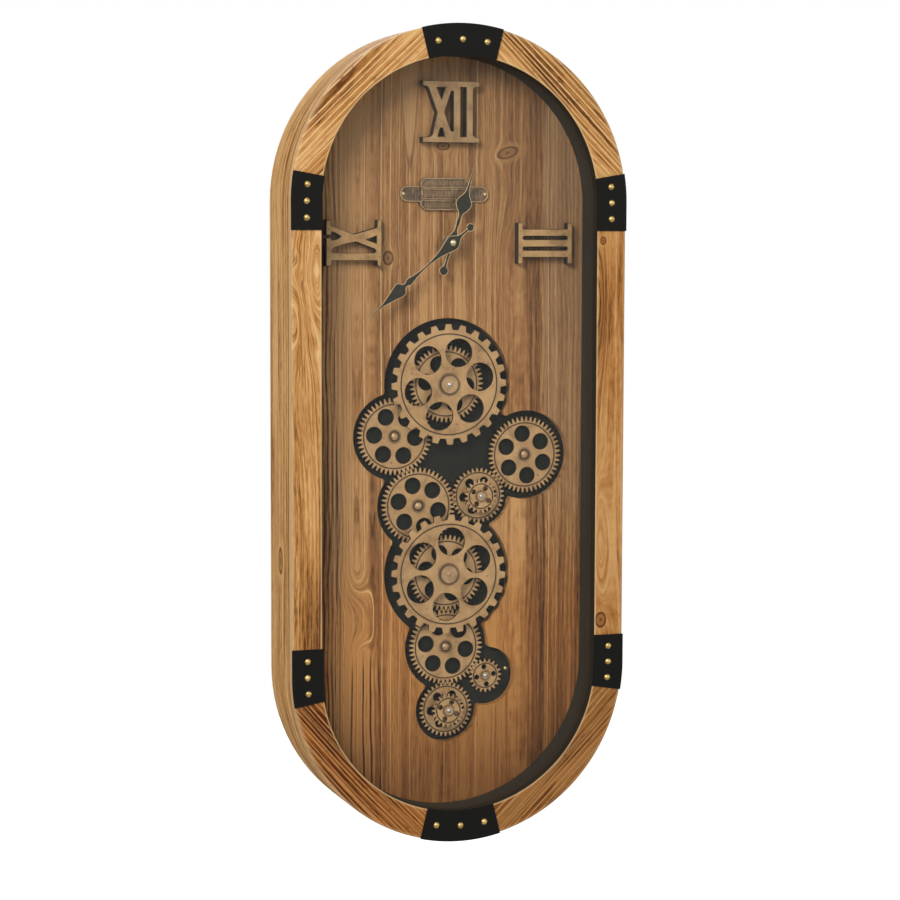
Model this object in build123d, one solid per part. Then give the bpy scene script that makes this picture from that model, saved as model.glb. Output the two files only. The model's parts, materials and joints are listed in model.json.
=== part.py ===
from build123d import *
import math
import os

# The clock is laid out on its back: X to the right, Y up the clock from the middle of the case,
# Z out of the wall. Every piece is stood up when it is written, with the wall at Y = 0, the dial
# facing -Y and the origin midway between the two hanger holes.

# Case
case_height = 800.0
case_width = 342.0
ring_width = 30.0
ring_fillet = 1.2
band_wall = 9.0
liner_past = 1.5
liner_wall = 4.0
glass_overlap = 9.0
board_gap = 0.3
frame_inset = 31.0

# Depths, measured out of the wall
ring_front = 82.0
ring_back = 70.0
glass_back = 67.0
dial_front = 38.0
dial_back = 29.0
well_plate_back = 27.5
frame_back = 17.0

# Joint plates and their dome nails
plate_thick = 1.2
plate_past_outer = 0.6
plate_past_inner = 0.4
plate_end_angle = 14.0
plate_arc_angle = 9.7
plate_straight = 27.5
nail_radius = 3.2
nail_rise = 2.0
nail_shank = 0.8
nail_depth = 8.0
nail_end_angle = 9.2
nail_side_step = 15.8
small_clearance = 0.05

# Hangers, with their drop from the top of the case
hanger_drop = 100.0
hanger_half_span = 80.0
batten_end_gap = 4.2
batten_height = 50.0
keyhole_plate_thick = 1.5
keyhole_plate_width = 18.0
keyhole_plate_height = 44.0
keyhole_plate_lift = 8.0
keyhole_plate_corner = 4.0
keyhole_radius = 4.5
keyhole_slot_radius = 2.2
keyhole_slot_rise = 14.0
pocket_radius = 6.2
pocket_depth = 7.0
hanger_screw_offset = 18.0
hanger_screw_radius = 1.5
hanger_screw_head = 2.9
hanger_screw_length = 11.5

# Numerals: how far each sits below the top of the case, and in from the liner
numeral_thick = 10.0
numeral_edge = 0.5
pin_radius = 0.5
pin_bite = 3.0
pin_proud = 0.2
twelve_width = 59.0
twelve_height = 60.0
twelve_drop = 82.8
side_numeral_inset = 43.4
side_numeral_drop = 210.8
three_width = 57.4
three_height = 40.6
three_serif = 5.0
three_body = 28.0
three_slot_width = 3.4
three_slot_length = 47.4
three_slot_offset = 5.3
nine_width = 56.2
nine_height = 45.0

# Outlines of the twelve and the nine, in shares of half the width and half the height
twelve_edge_shares = (
    (-1, 1), (1, 1), (1, 0.82), (0.84, 0.81), (0.77, 0.74), (0.77, -0.74), (0.84, -0.81), (1, -0.82),
    (1, -1), (-1, -1), (-1, -0.82), (-0.74, -0.81), (-0.65, -0.74), (-0.49, -0.03), (-0.79, 0.76),
    (-0.88, 0.82), (-1, 0.82),
)
twelve_hole_shares = (
    ((-0.50, 0.78), (-0.20, 0.79), (-0.335, 0.40)),
    ((-0.385, -0.53), (-0.295, -0.53), (-0.225, -0.80), (-0.46, -0.80)),
    ((0.0, 0.66), (0.078, 0.66), (0.078, -0.62), (0.0, -0.62), (-0.235, -0.02)),
    ((0.33, 0.80), (0.53, 0.80), (0.53, -0.80), (0.33, -0.80)),
)
twelve_pin_shares = (0.60, 0.905)
nine_edge_shares = (
    (-1, 1), (-0.83, 1), (-0.82, 0.745), (-0.01, 0.375), (0.83, 0.66), (0.85, 1), (1, 1), (1, -1),
    (0.85, -1), (0.83, -0.765), (-0.79, -0.765), (-0.83, -1), (-1, -1), (-1, 0.21), (-0.83, 0.21),
    (-0.79, 0.11), (-0.56, 0.18), (-0.47, 0.28), (-0.66, 0.42), (-0.80, 0.47), (-0.83, 0.33), (-1, 0.33),
)
nine_hole_shares = (
    ((0.46, 0.14), (0.81, 0.31), (0.81, -0.02)),
    ((-0.80, -0.38), (-0.73, -0.21), (-0.24, -0.03), (0.065, 0.05), (0.745, -0.26), (0.80, -0.36),
     (0.72, -0.43), (-0.74, -0.43)),
)
side_pin_shares = (0.905, 0.59)

# Name plate
plaque_drop = 162.8
plaque_offset = -4.3
plaque_length = 91.7
plaque_bar = 15.8
plaque_base = 2.0
band_length = 51.0
band_height = 32.0
band_corner = 4.7
band_thick = 3.0
middle_band_height = 11.0
middle_band_length = 49.0
middle_band_thick = 4.0
plaque_screw_inset = 3.55
dome_screw_radius = 2.2
dome_screw_rise = 1.5
dome_screw_shank = 0.9
dome_screw_depth = 5.0
well_screw_depth = 3.0

# Well through the dial board
great_well = 65.5
wheel_well = 43.7
right_well = 44.7
small_well = 32.3
side_well = 29.6
well_corner = 3.0
well_plate_margin = 9.0
well_plate_gap = 1.0

# Screw of the well plate, beside the side pinion's axle
well_screw_across = 23.883
well_screw_up = 5.189

# Gear wheels
module = 1.545
wheel_teeth = 48
small_teeth = 34
pinion_teeth = 20
great_teeth = 24
wheel_thick = 3.0
wheel_tip, wheel_root = 38.3, 33.6
wheel_tip_land, wheel_root_land = 1.2, 3.2
small_tip, small_root = 27.5, 24.0
small_tip_land, small_root_land = 1.2, 3.0
pinion_tip, pinion_root = 17.1, 13.9
pinion_tip_land, pinion_root_land = 1.1, 2.9
great_tip, great_root = 59.7, 54.1
great_tip_land, great_root_land = 5.6, 8.2
groove_width = 0.9
groove_depth = 0.5
great_groove = 49.9
wheel_groove = 31.9
small_groove = 22.9
pinion_groove = 12.35
great_hole, great_hole_circle = 14.2, 32.8
wheel_hole, wheel_hole_circle = 8.4, 21.2
small_hole, small_hole_circle = 4.6, 15.3
pinion_hole, pinion_hole_circle = 2.65, 9.0
round_holes = 6
pinion_holes = 4
fine_back = 32.0
great_back = 41.0
great_boss = 8.0
pinion_boss = 4.4

# Places of the wheels: the upper axle, below the top of the case, then the direction of each mesh,
# clockwise from straight up
upper_drop = 350.2
upper_to_left_angle = 226.5
left_to_middle_angle = 160.5
middle_to_small_angle = 82.0
small_to_right_angle = 51.1
middle_to_lower_angle = 156.94
lower_to_low_angle = 180.0
low_to_bottom_angle = 180.0
low_to_side_angle = 126.9

# Turn of the round holes in each wheel, and of the coarse teeth, clockwise from straight up
upper_front_hole_angle, upper_front_tooth_angle = 17.5, -0.9
upper_back_hole_angle = -24.0
lower_front_hole_angle, lower_front_tooth_angle = 4.7, 2.8
lower_back_hole_angle = -19.0
left_hole_angle = -25.5
right_hole_angle = -7.3
middle_hole_angle = -16.5
low_hole_angle = -20.5
small_hole_angle, small_pinion_hole_angle = 24.0, 30.6
bottom_hole_angle, bottom_pinion_hole_angle = 25.0, 23.0
side_hole_angle = -9.0

# Posts, caps and domes
post_radius = 2.0
post_flange = 4.5
post_flange_back = 26.0
post_collar = 4.0
turning_gap = 0.3
great_cap, great_cap_thick = 9.4, 2.3
cap_groove_inset = 1.5
cap_groove_width = 0.6
cap_groove_depth = 0.4
small_cap, small_cap_thick = 4.4, 1.7
side_cap, side_cap_thick = 3.6, 1.3
tip_proud = 0.4
tip_rise = 0.8
dome_radius, dome_rise = 3.9, 2.0
dome_rim = 0.6
dome_sink_radius, dome_sink = 5.1, 1.2

# Clock movement
pivot_drop = 210.5
movement_width = 56.0
movement_top = 28.0
movement_bottom = 30.0
movement_wall = 2.0
movement_corner = 2.0
movement_back = 12.0
cover_thick = 1.8
bay_wall_top = 10.6
bay_wall = 1.0
bush_radius = 4.0
bush_front = 43.0
bush_bore = 2.7
nut_across = 11.0
nut_sides = 6
nut_thick = 2.5
board_hole = 4.3
hour_tube, hour_tube_bore = 2.65, 1.75
hour_tube_front = 52.3
hour_wheel_back, hour_wheel_front = 24.8, 26.0
arbor_radius = 1.65
arbor_back, arbor_front = 16.0, 57.0
cannon_back, cannon_front = 21.5, 23.0
motion_reach = 12.0
cannon_teeth, minute_wheel_teeth = 12, 36
motion_pinion_teeth, hour_wheel_teeth = 10, 40
cannon_tip, cannon_root, cannon_tip_land, cannon_root_land = 3.5, 2.35, 0.35, 0.95
minute_tip, minute_root, minute_tip_land, minute_root_land = 9.45, 8.35, 0.4, 0.9
leaf_tip, leaf_root, leaf_tip_land, leaf_root_land = 2.85, 1.85, 0.35, 0.8
hour_tip, hour_root, hour_tip_land, hour_root_land = 10.0, 9.0, 0.4, 0.85
minute_post_radius = 1.2
minute_post_back, minute_post_front = 6.8, 26.8
knob_radius = 5.5
knob_back, knob_front = 6.5, 10.0
knob_notch = 0.5
knob_notches = 18

# Hands, drawn pointing straight up
hand_thick = 0.8
hour_hand_back = 51.0
minute_hand_back = 54.0
hour_hand_angle = 17.4
minute_hand_angle = 229.7
hour_hand_length = 81.2
minute_hand_length = 115.1
hour_hand_width = 16.6
minute_hand_width = 14.8
hour_ball, hour_ball_reach = 4.6, 28.6
minute_ball, minute_ball_reach = 3.9, 23.3
hour_hub = 6.8
hand_nut_radius, hand_nut_rise = 3.4, 2.0
hand_nut_rim = 1.0

# Half outlines of the hands: share of the length from the pivot, share of half the width
hour_edge_shares = (
    (1.0, 0.02), (0.86, 0.09), (0.70, 0.17), (0.655, 0.22), (0.61, 0.38), (0.565, 0.70), (0.52, 0.95),
    (0.485, 1.0), (0.455, 0.90), (0.41, 0.62), (0.375, 0.32), (0.335, 0.19), (0.30, 0.22),
    (0.265, 0.26), (0.20, 0.18), (0.15, 0.22), (0.105, 0.42), (0.06, 0.78), (0.0, 0.80),
    (-0.06, 0.50), (-0.12, 0.20), (-0.24, 0.16), (-0.31, 0.20),
)
minute_edge_shares = (
    (1.0, 0.02), (0.93, 0.07), (0.83, 0.15), (0.78, 0.32), (0.70, 0.62), (0.645, 0.88), (0.61, 0.95),
    (0.588, 0.75), (0.575, 0.38), (0.552, 0.24), (0.535, 0.36), (0.522, 0.52), (0.50, 0.46),
    (0.44, 0.28), (0.38, 0.17), (0.32, 0.12), (0.26, 0.15), (0.18, 0.30), (0.12, 0.50),
    (0.06, 0.80), (0.015, 0.98), (-0.005, 1.0), (-0.02, 0.93), (-0.075, 0.30), (-0.11, 0.20),
    (-0.15, 0.17), (-0.17, 0.22),
)

# Drive for the gears
drive_width = 62.0
drive_top = 30.0
drive_wall = 2.0
drive_back = 7.0
drive_corner = 2.5
lid_thick = 2.0
lid_gap = 0.3
motor_radius = 21.0
motor_back = 9.0
motor_nose = 5.0
motor_nose_back = 23.0
motor_front = 25.3
shaft_back = 17.2
motor_bore_back = 17.0
motor_room = 28.0
cell_radius = 7.2
cell_length = 49.0
cell_nub_radius = 2.7
cell_nub = 1.4
cell_gap = 0.6
cell_rows = 2
cell_row_offset = 0.8
switch_reach = 12.0
switch_knob_height = 5.0
switch_knob_depth = 4.0
switch_proud = 2.5
switch_travel = 3.0
switch_slack = 0.3
switch_flange = 1.5
switch_flange_thick = 1.2
door_grip_count = 4
door_grip_pitch = 3.0
door_grip_width = 1.2
door_grip_length = 24.0
door_grip_rise = 0.6

half_width = case_width / 2
straight_half = case_height / 2 - half_width
ring_inner = half_width - ring_width
liner_inner = ring_inner + liner_past
frame_inner = half_width - frame_inset
hanger_rise = case_height / 2 - hanger_drop
twelve_rise = case_height / 2 - twelve_drop
side_numeral_rise = case_height / 2 - side_numeral_drop
side_numeral_reach = liner_inner - side_numeral_inset
plaque_rise = case_height / 2 - plaque_drop
pivot_rise = case_height / 2 - pivot_drop
upper_rise = case_height / 2 - upper_drop
plaque_screw_offset = plaque_length / 2 - plaque_screw_inset
band_inner = half_width - band_wall
board_half = band_inner - board_gap
batten_top = hanger_rise + keyhole_plate_lift + batten_height / 2 - straight_half
batten_half_length = math.sqrt(band_inner**2 - batten_top**2) - batten_end_gap
nail_circle = half_width - ring_width / 2
plate_front = ring_front + plate_thick
fine_front = fine_back + wheel_thick
great_front = great_back + wheel_thick
bore_radius = post_radius + small_clearance
cell_bay = cell_rows * (2 * cell_radius + cell_gap) + cell_gap
drive_bottom = motor_room + drive_wall + cell_bay + drive_wall
FULL_TURN = 360
HALF_TURN = FULL_TURN / 2
QUARTER_TURN = FULL_TURN / 4


def stadium(half):
    return Rot(0, 0, QUARTER_TURN) * SlotOverall(2 * (straight_half + half), 2 * half)


def slab(outline, back, front):
    return Pos(0, 0, back) * extrude(outline, amount=front - back, dir=(0, 0, 1))


def face_of(points):
    return make_face(Polyline(*points, close=True))


def disc(radius, back, front):
    return slab(Circle(radius), back, front)


def place(piece, spot):
    return Pos(spot[0], spot[1], 0) * piece


def dome(radius, rise):
    ball = (radius**2 + rise**2) / (2 * rise)
    keep = Cylinder(ball, rise, align=(Align.CENTER, Align.CENTER, Align.MIN))
    return keep & (Pos(0, 0, rise - ball) * Sphere(ball))


def write(name, pieces):
    group = pieces if isinstance(pieces, list) else [pieces]
    stood = [Pos(0, 0, -hanger_rise) * Rot(QUARTER_TURN, 0, 0) * piece for piece in group]
    whole = stood[0] if len(stood) == 1 else Compound(children=stood)
    os.makedirs("parts", exist_ok=True)
    export_step(whole, f"parts/{name}.step")


def sector(inner, outer, start, end):
    far = 2 * outer
    start_point = (far * math.cos(math.radians(start)), far * math.sin(math.radians(start)))
    end_point = (far * math.cos(math.radians(end)), far * math.sin(math.radians(end)))
    wedge = face_of([(0, 0), start_point, end_point])
    return (Circle(outer) - Circle(inner)) & wedge


def nail_spots():
    ends = []
    for side in (1, -1):
        for turn in (-nail_end_angle, 0, nail_end_angle):
            angle = math.radians(turn)
            rise = side * (straight_half + nail_circle * math.cos(angle))
            ends.append((nail_circle * math.sin(angle), rise))
    sides = []
    lean = nail_circle * (1 - math.cos(nail_side_step / nail_circle))
    for hand in (1, -1):
        for side in (1, -1):
            for step in (-1, 0, 1):
                inward = lean if step == 1 else 0
                rise = side * (straight_half + step * nail_side_step)
                sides.append((hand * (nail_circle - inward), rise))
    return ends + sides


def nail_holes(back, front):
    return [place(disc(nail_shank + small_clearance, back, front), spot) for spot in nail_spots()]


def ring_boards():
    holes = nail_holes(plate_front - nail_depth, ring_front)
    rail_outline = Rectangle(ring_width, 2 * straight_half)
    boards = {}
    for hand, side_name in ((-1, "left"), (1, "right")):
        rail = slab(Pos(hand * nail_circle, 0) * rail_outline, ring_back, ring_front)
        long_edges = rail.edges().filter_by(Axis.Y).group_by(Axis.Z)[-1]
        boards[f"ring_rail_{side_name}"] = fillet(long_edges, ring_fillet) - holes
        for side, end_name in ((1, "top"), (-1, "bottom")):
            quarter = {(1, 1): 0, (-1, 1): 1, (-1, -1): 2, (1, -1): 3}[(hand, side)]
            start = quarter * QUARTER_TURN
            outline = sector(ring_inner, half_width, start, start + QUARTER_TURN)
            arc = slab(Pos(0, side * straight_half) * outline, ring_back, ring_front)
            round_edges = arc.edges().filter_by(GeomType.CIRCLE).group_by(Axis.Z)[-1]
            boards[f"ring_arc_{end_name}_{side_name}"] = fillet(round_edges, ring_fillet) - holes
    return boards


def joint_plates():
    inner = ring_inner - plate_past_inner
    outer = half_width + plate_past_outer
    holes = nail_holes(ring_front, plate_front)
    plates = {}
    for side, name in ((1, "top"), (-1, "bottom")):
        middle = side * QUARTER_TURN
        outline = sector(inner, outer, middle - plate_end_angle, middle + plate_end_angle)
        plate = slab(Pos(0, side * straight_half) * outline, ring_front, plate_front)
        plates[f"plate_{name}"] = plate - holes
    block = Rectangle(outer - inner, plate_straight, align=(Align.MIN, Align.MAX))
    corner = sector(inner, outer, 0, plate_arc_angle) + Pos(inner, 0) * block
    upper = slab(Pos(0, straight_half) * corner, ring_front, plate_front)
    lower = mirror(upper, about=Plane.XZ)
    plates["plate_upper_right"] = upper - holes
    plates["plate_lower_right"] = lower - holes
    plates["plate_upper_left"] = mirror(upper, about=Plane.YZ) - holes
    plates["plate_lower_left"] = mirror(lower, about=Plane.YZ) - holes
    return plates


def plate_nails():
    head = Pos(0, 0, plate_front) * dome(nail_radius, nail_rise)
    nail = head + disc(nail_shank, plate_front - nail_depth, plate_front)
    return [place(nail, spot) for spot in nail_spots()]


def shell_pieces():
    band = slab(stadium(half_width) - stadium(band_inner), 0, ring_back)
    liner_outer = liner_inner + liner_wall
    liner = slab(stadium(liner_outer) - stadium(liner_inner), dial_front, glass_back)
    glass = slab(stadium(ring_inner + glass_overlap), glass_back, ring_back)
    frame = slab(stadium(board_half) - stadium(frame_inner), frame_back, dial_back)
    frame -= slab(well_outline(well_plate_margin + well_plate_gap), well_plate_back, dial_back)
    return {"side_band": band, "liner_band": liner, "glass_pane": glass, "back_frame": frame}


def keyhole(hole, slot):
    channel = Rectangle(2 * slot, keyhole_slot_rise, align=(Align.CENTER, Align.MIN))
    return Circle(hole) + channel + Pos(0, keyhole_slot_rise) * Circle(slot)


def hanger_spots():
    return [(hand * hanger_half_span, hanger_rise) for hand in (-1, 1)]


def hanger_screw_spots():
    shifts = (keyhole_plate_lift - hanger_screw_offset, keyhole_plate_lift + hanger_screw_offset)
    return [(x, y + shift) for x, y in hanger_spots() for shift in shifts]


def countersink(shank, head, depth):
    return Cone(head, shank, depth, align=(Align.CENTER, Align.CENTER, Align.MIN))


def hanger_pieces():
    outline = RectangleRounded(keyhole_plate_width, keyhole_plate_height, keyhole_plate_corner)
    outline = Pos(0, keyhole_plate_lift) * outline - keyhole(keyhole_radius, keyhole_slot_radius)
    plates = [place(slab(outline, 0, keyhole_plate_thick), spot) for spot in hanger_spots()]
    sink = countersink(
        hanger_screw_radius + small_clearance, hanger_screw_head + small_clearance, keyhole_plate_thick
    )
    sinks = [place(sink, spot) for spot in hanger_screw_spots()]
    plates = [plate - sinks for plate in plates]
    head = countersink(hanger_screw_radius, hanger_screw_head, keyhole_plate_thick)
    screw = head + disc(hanger_screw_radius, keyhole_plate_thick, hanger_screw_length)
    screws = [place(screw, spot) for spot in hanger_screw_spots()]
    batten = slab(Rectangle(2 * batten_half_length, batten_height), keyhole_plate_thick, frame_back)
    batten = Pos(0, hanger_rise + keyhole_plate_lift, 0) * batten
    pocket = keyhole(pocket_radius, pocket_radius)
    pocket = slab(pocket, keyhole_plate_thick, keyhole_plate_thick + pocket_depth)
    pilot = disc(hanger_screw_radius + small_clearance, keyhole_plate_thick, frame_back)
    batten -= [place(pocket, spot) for spot in hanger_spots()]
    batten -= [place(pilot, spot) for spot in hanger_screw_spots()]
    return {"hanger_batten": batten, "hanger_plates": plates, "hanger_screws": screws}


def scaled(shares, width, height):
    return [(x * width / 2, y * height / 2) for x, y in shares]


def lettered(edge_shares, hole_shares, width, height):
    outline = face_of(scaled(edge_shares, width, height))
    for hole in hole_shares:
        outline -= face_of(scaled(hole, width, height))
    return outline


def numeral_centres():
    return {
        "numeral_twelve": (0, twelve_rise),
        "numeral_three": (side_numeral_reach, side_numeral_rise),
        "numeral_nine": (-side_numeral_reach, side_numeral_rise),
    }


def pin_spots():
    sizes = {
        "numeral_twelve": (twelve_width, twelve_height, twelve_pin_shares),
        "numeral_three": (three_width, three_height, side_pin_shares),
        "numeral_nine": (nine_width, nine_height, side_pin_shares),
    }
    spots = []
    for name, (x, y) in numeral_centres().items():
        width, height, (across_share, up_share) = sizes[name]
        for hand in (-1, 1):
            for side in (-1, 1):
                spots.append((x + hand * across_share * width / 2, y + side * up_share * height / 2))
    return spots


def pin_holes(back, front):
    return [place(disc(pin_radius + small_clearance, back, front), spot) for spot in pin_spots()]


def three_outline():
    serif = Rectangle(three_serif, three_height)
    reach = (three_width - three_serif) / 2
    outline = Rectangle(three_width, three_body) + Pos(reach, 0) * serif + Pos(-reach, 0) * serif
    slot = SlotOverall(three_slot_length, three_slot_width)
    return outline - Pos(0, three_slot_offset) * slot - Pos(0, -three_slot_offset) * slot


def numerals():
    front = dial_front + numeral_thick
    outlines = {
        "numeral_twelve": lettered(twelve_edge_shares, twelve_hole_shares, twelve_width, twelve_height),
        "numeral_three": three_outline(),
        "numeral_nine": lettered(nine_edge_shares, nine_hole_shares, nine_width, nine_height),
    }
    made = {}
    for name, outline in outlines.items():
        body = slab(outline, dial_front, front)
        body = chamfer(body.faces().sort_by(Axis.Z)[-1].edges(), numeral_edge)
        made[name] = place(body, numeral_centres()[name]) - pin_holes(dial_front, front)
    pin = disc(pin_radius, dial_front - pin_bite, front + pin_proud)
    made["numeral_pins"] = [place(pin, spot) for spot in pin_spots()]
    return made


def plaque_screw_spots():
    return [(plaque_offset + hand * plaque_screw_offset, plaque_rise) for hand in (-1, 1)]


def name_plaque():
    plate = slab(SlotOverall(plaque_length, plaque_bar), dial_front, dial_front + plaque_base)
    block = chamfer(Rectangle(band_length, band_height).vertices(), band_corner)
    plate += slab(block, dial_front, dial_front + band_thick)
    middle = Rectangle(middle_band_length, middle_band_height)
    plate += slab(middle, dial_front, dial_front + middle_band_thick)
    plate = place(plate, (plaque_offset, plaque_rise))
    hole = disc(dome_screw_shank + small_clearance, dial_front, dial_front + plaque_base)
    return plate - [place(hole, spot) for spot in plaque_screw_spots()]


def small_screws():
    head = dome(dome_screw_radius, dome_screw_rise)
    screw = head + disc(dome_screw_shank, -dome_screw_depth, 0)
    front = dial_front + plaque_base
    screws = [Pos(0, 0, front) * place(screw, spot) for spot in plaque_screw_spots()]
    short = head + disc(dome_screw_shank, -well_screw_depth, 0)
    screws.append(Pos(0, 0, dial_back) * place(short, well_screw_spot()))
    return screws


def toothed(teeth, tip, root, tip_land, root_land, phase):
    points = []
    for tooth in range(teeth):
        middle = math.radians(phase) + 2 * math.pi * tooth / teeth
        root_half = root_land / root / 2
        tip_half = tip_land / tip / 2
        for radius, turn in ((root, -root_half), (tip, -tip_half), (tip, tip_half), (root, root_half)):
            points.append((radius * math.cos(middle + turn), radius * math.sin(middle + turn)))
    return face_of(points)


def step(start, teeth, angle, next_teeth):
    reach = module * (teeth + next_teeth) / 2
    turn = math.radians(angle)
    return (start[0] + reach * math.sin(turn), start[1] + reach * math.cos(turn))


def mesh_phase(phase, teeth, angle, next_teeth):
    line = QUARTER_TURN - angle
    passed = (line - phase) * teeth / FULL_TURN
    return line + HALF_TURN - (0.5 - passed) * FULL_TURN / next_teeth


def gear_places():
    places = {"upper": (0, upper_rise)}
    phases = {"upper": 0}
    chain = (
        ("upper", wheel_teeth, upper_to_left_angle, "left", wheel_teeth),
        ("left", wheel_teeth, left_to_middle_angle, "middle", wheel_teeth),
        ("middle", wheel_teeth, middle_to_small_angle, "small", small_teeth),
        ("small", small_teeth, small_to_right_angle, "right", wheel_teeth),
        ("middle", wheel_teeth, middle_to_lower_angle, "lower", wheel_teeth),
        ("lower", wheel_teeth, lower_to_low_angle, "low", wheel_teeth),
        ("low", wheel_teeth, low_to_bottom_angle, "bottom", small_teeth),
        ("low", wheel_teeth, low_to_side_angle, "side", pinion_teeth),
    )
    for start, teeth, angle, name, next_teeth in chain:
        places[name] = step(places[start], teeth, angle, next_teeth)
        phases[name] = mesh_phase(phases[start], teeth, angle, next_teeth)
    return places, phases


def well_screw_spot():
    places, _ = gear_places()
    x, y = places["side"]
    return (x + well_screw_across, y + well_screw_up)


def wheel(outline, back, groove, hole, circle, count, turn):
    front = back + wheel_thick
    start = QUARTER_TURN - turn
    outline -= [spot * Circle(hole) for spot in PolarLocations(circle, count, start_angle=start)]
    outline -= Circle(bore_radius)
    body = slab(outline, back, front)
    ring = Circle(groove + groove_width / 2) - Circle(groove - groove_width / 2)
    return body - slab(ring, front - groove_depth, front)


def fine_wheel(phase, turn, sunk=False):
    outline = toothed(wheel_teeth, wheel_tip, wheel_root, wheel_tip_land, wheel_root_land, phase)
    body = wheel(outline, fine_back, wheel_groove, wheel_hole, wheel_hole_circle, round_holes, turn)
    if sunk:
        body -= disc(dome_sink_radius, fine_front - dome_sink, fine_front)
    return body


def small_wheel(phase, turn):
    outline = toothed(small_teeth, small_tip, small_root, small_tip_land, small_root_land, phase)
    return wheel(outline, fine_back, small_groove, small_hole, small_hole_circle, round_holes, turn)


def pinion_wheel(phase, turn, back):
    outline = toothed(
        pinion_teeth, pinion_tip, pinion_root, pinion_tip_land, pinion_root_land, phase
    )
    return wheel(outline, back, pinion_groove, pinion_hole, pinion_hole_circle, pinion_holes, turn)


def boss(radius):
    return disc(radius, fine_front, great_back) - disc(bore_radius, fine_front, great_back)


def great_wheel(turn, tooth_turn):
    outline = toothed(
        great_teeth, great_tip, great_root, great_tip_land, great_root_land, QUARTER_TURN - tooth_turn
    )
    body = wheel(outline, great_back, great_groove, great_hole, great_hole_circle, round_holes, turn)
    return body + boss(great_boss)


def gears():
    places, phases = gear_places()
    front_pinion_small = pinion_wheel(phases["small"], small_pinion_hole_angle, great_back)
    front_pinion_bottom = pinion_wheel(phases["bottom"], bottom_pinion_hole_angle, great_back)
    made = {
        "upper_great_wheel": ("upper", great_wheel(upper_front_hole_angle, upper_front_tooth_angle)),
        "upper_back_wheel": ("upper", fine_wheel(phases["upper"], upper_back_hole_angle)),
        "lower_great_wheel": ("lower", great_wheel(lower_front_hole_angle, lower_front_tooth_angle)),
        "lower_back_wheel": ("lower", fine_wheel(phases["lower"], lower_back_hole_angle)),
        "left_wheel": ("left", fine_wheel(phases["left"], left_hole_angle, True)),
        "right_wheel": ("right", fine_wheel(phases["right"], right_hole_angle, True)),
        "middle_wheel": ("middle", fine_wheel(phases["middle"], middle_hole_angle, True)),
        "low_wheel": ("low", fine_wheel(phases["low"], low_hole_angle, True)),
        "small_wheel": ("small", small_wheel(phases["small"], small_hole_angle)),
        "small_pinion": ("small", front_pinion_small + boss(pinion_boss)),
        "bottom_wheel": ("bottom", small_wheel(phases["bottom"], bottom_hole_angle)),
        "bottom_pinion": ("bottom", front_pinion_bottom + boss(pinion_boss)),
        "side_pinion": ("side", pinion_wheel(phases["side"], side_hole_angle, fine_back)),
    }
    return {name: place(body, places[spot]) for name, (spot, body) in made.items()}


def pointed(radius, back, front):
    return disc(radius, back, front) + Pos(0, 0, front) * dome(radius, tip_rise)


def turned_groove(radius, front):
    outer = radius - cap_groove_inset
    ring = Circle(outer) - Circle(outer - cap_groove_width)
    return slab(ring, front - cap_groove_depth, front)


def post_kinds():
    deep_cap = (great_front + turning_gap, great_cap, great_cap_thick)
    stack_cap = (great_front + turning_gap, small_cap, small_cap_thick)
    flat_cap = (fine_front + turning_gap, side_cap, side_cap_thick)
    kinds = {"upper": deep_cap, "small": stack_cap, "bottom": stack_cap, "side": flat_cap}
    return kinds


def collar():
    return disc(post_collar, dial_back + turning_gap, fine_back - turning_gap)


def posts_and_caps():
    places, _ = gear_places()
    foot = disc(post_flange, post_flange_back, well_plate_back)
    posts, caps = [], []
    for name, (back, radius, thick) in post_kinds().items():
        post = foot + collar() + pointed(post_radius, post_flange_back, back + thick + tip_proud)
        cap = disc(radius, back, back + thick) - disc(bore_radius, back, back + thick)
        if radius == great_cap:
            cap -= turned_groove(radius, back + thick)
        posts.append(place(post, places[name]))
        caps.append(place(cap, places[name]))
    sink_floor = fine_front - dome_sink + turning_gap
    for name in ("left", "right", "middle", "low"):
        post = foot + collar() + disc(post_radius, post_flange_back, fine_front)
        rim = sink_floor + dome_rim + dome_sink
        cap = disc(dome_radius, sink_floor, rim) + Pos(0, 0, rim) * dome(dome_radius, dome_rise)
        cap -= disc(bore_radius, sink_floor, fine_front + small_clearance)
        posts.append(place(post, places[name]))
        caps.append(place(cap, places[name]))
    return {"gear_posts": posts, "post_caps": caps}


def well_outline(margin):
    places, _ = gear_places()
    radii = {
        "upper": great_well,
        "lower": great_well,
        "right": right_well,
        "small": small_well,
        "bottom": small_well,
        "side": side_well,
    }
    middle = face_of([places[name] for name in ("upper", "right", "small", "middle", "left")])
    lobes = [Pos(x, y) * Circle(radii.get(name, wheel_well) + margin) for name, (x, y) in places.items()]
    return middle + lobes


def dial_pieces():
    places, _ = gear_places()
    well = well_outline(0)
    well = fillet(well.vertices(), well_corner)
    board = slab(stadium(board_half) - well, dial_back, dial_front)
    board -= Pos(0, pivot_rise, 0) * disc(board_hole, dial_back, dial_front)
    board -= pin_holes(dial_front - pin_bite, dial_front)
    screw_hole = disc(dome_screw_shank + small_clearance, dial_back, dial_front)
    board -= [place(screw_hole, spot) for spot in plaque_screw_spots()]
    plate = slab(well_outline(well_plate_margin), well_plate_back, dial_back)
    bore = disc(bore_radius, well_plate_back, dial_back)
    plate -= [place(bore, spot) for spot in places.values()]
    screw_hole = disc(dome_screw_shank + small_clearance, well_plate_back, dial_back)
    plate -= place(screw_hole, well_screw_spot())
    return {"dial_board": board, "well_plate": plate}


def drive_shaft():
    places, _ = gear_places()
    cap_back = great_front
    cap_front = cap_back + great_cap_thick
    shaft = pointed(post_radius, shaft_back, cap_front + tip_proud)
    shaft += disc(great_cap, cap_back, cap_front) + collar()
    shaft -= turned_groove(great_cap, cap_front)
    return place(shaft, places["lower"])


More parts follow.
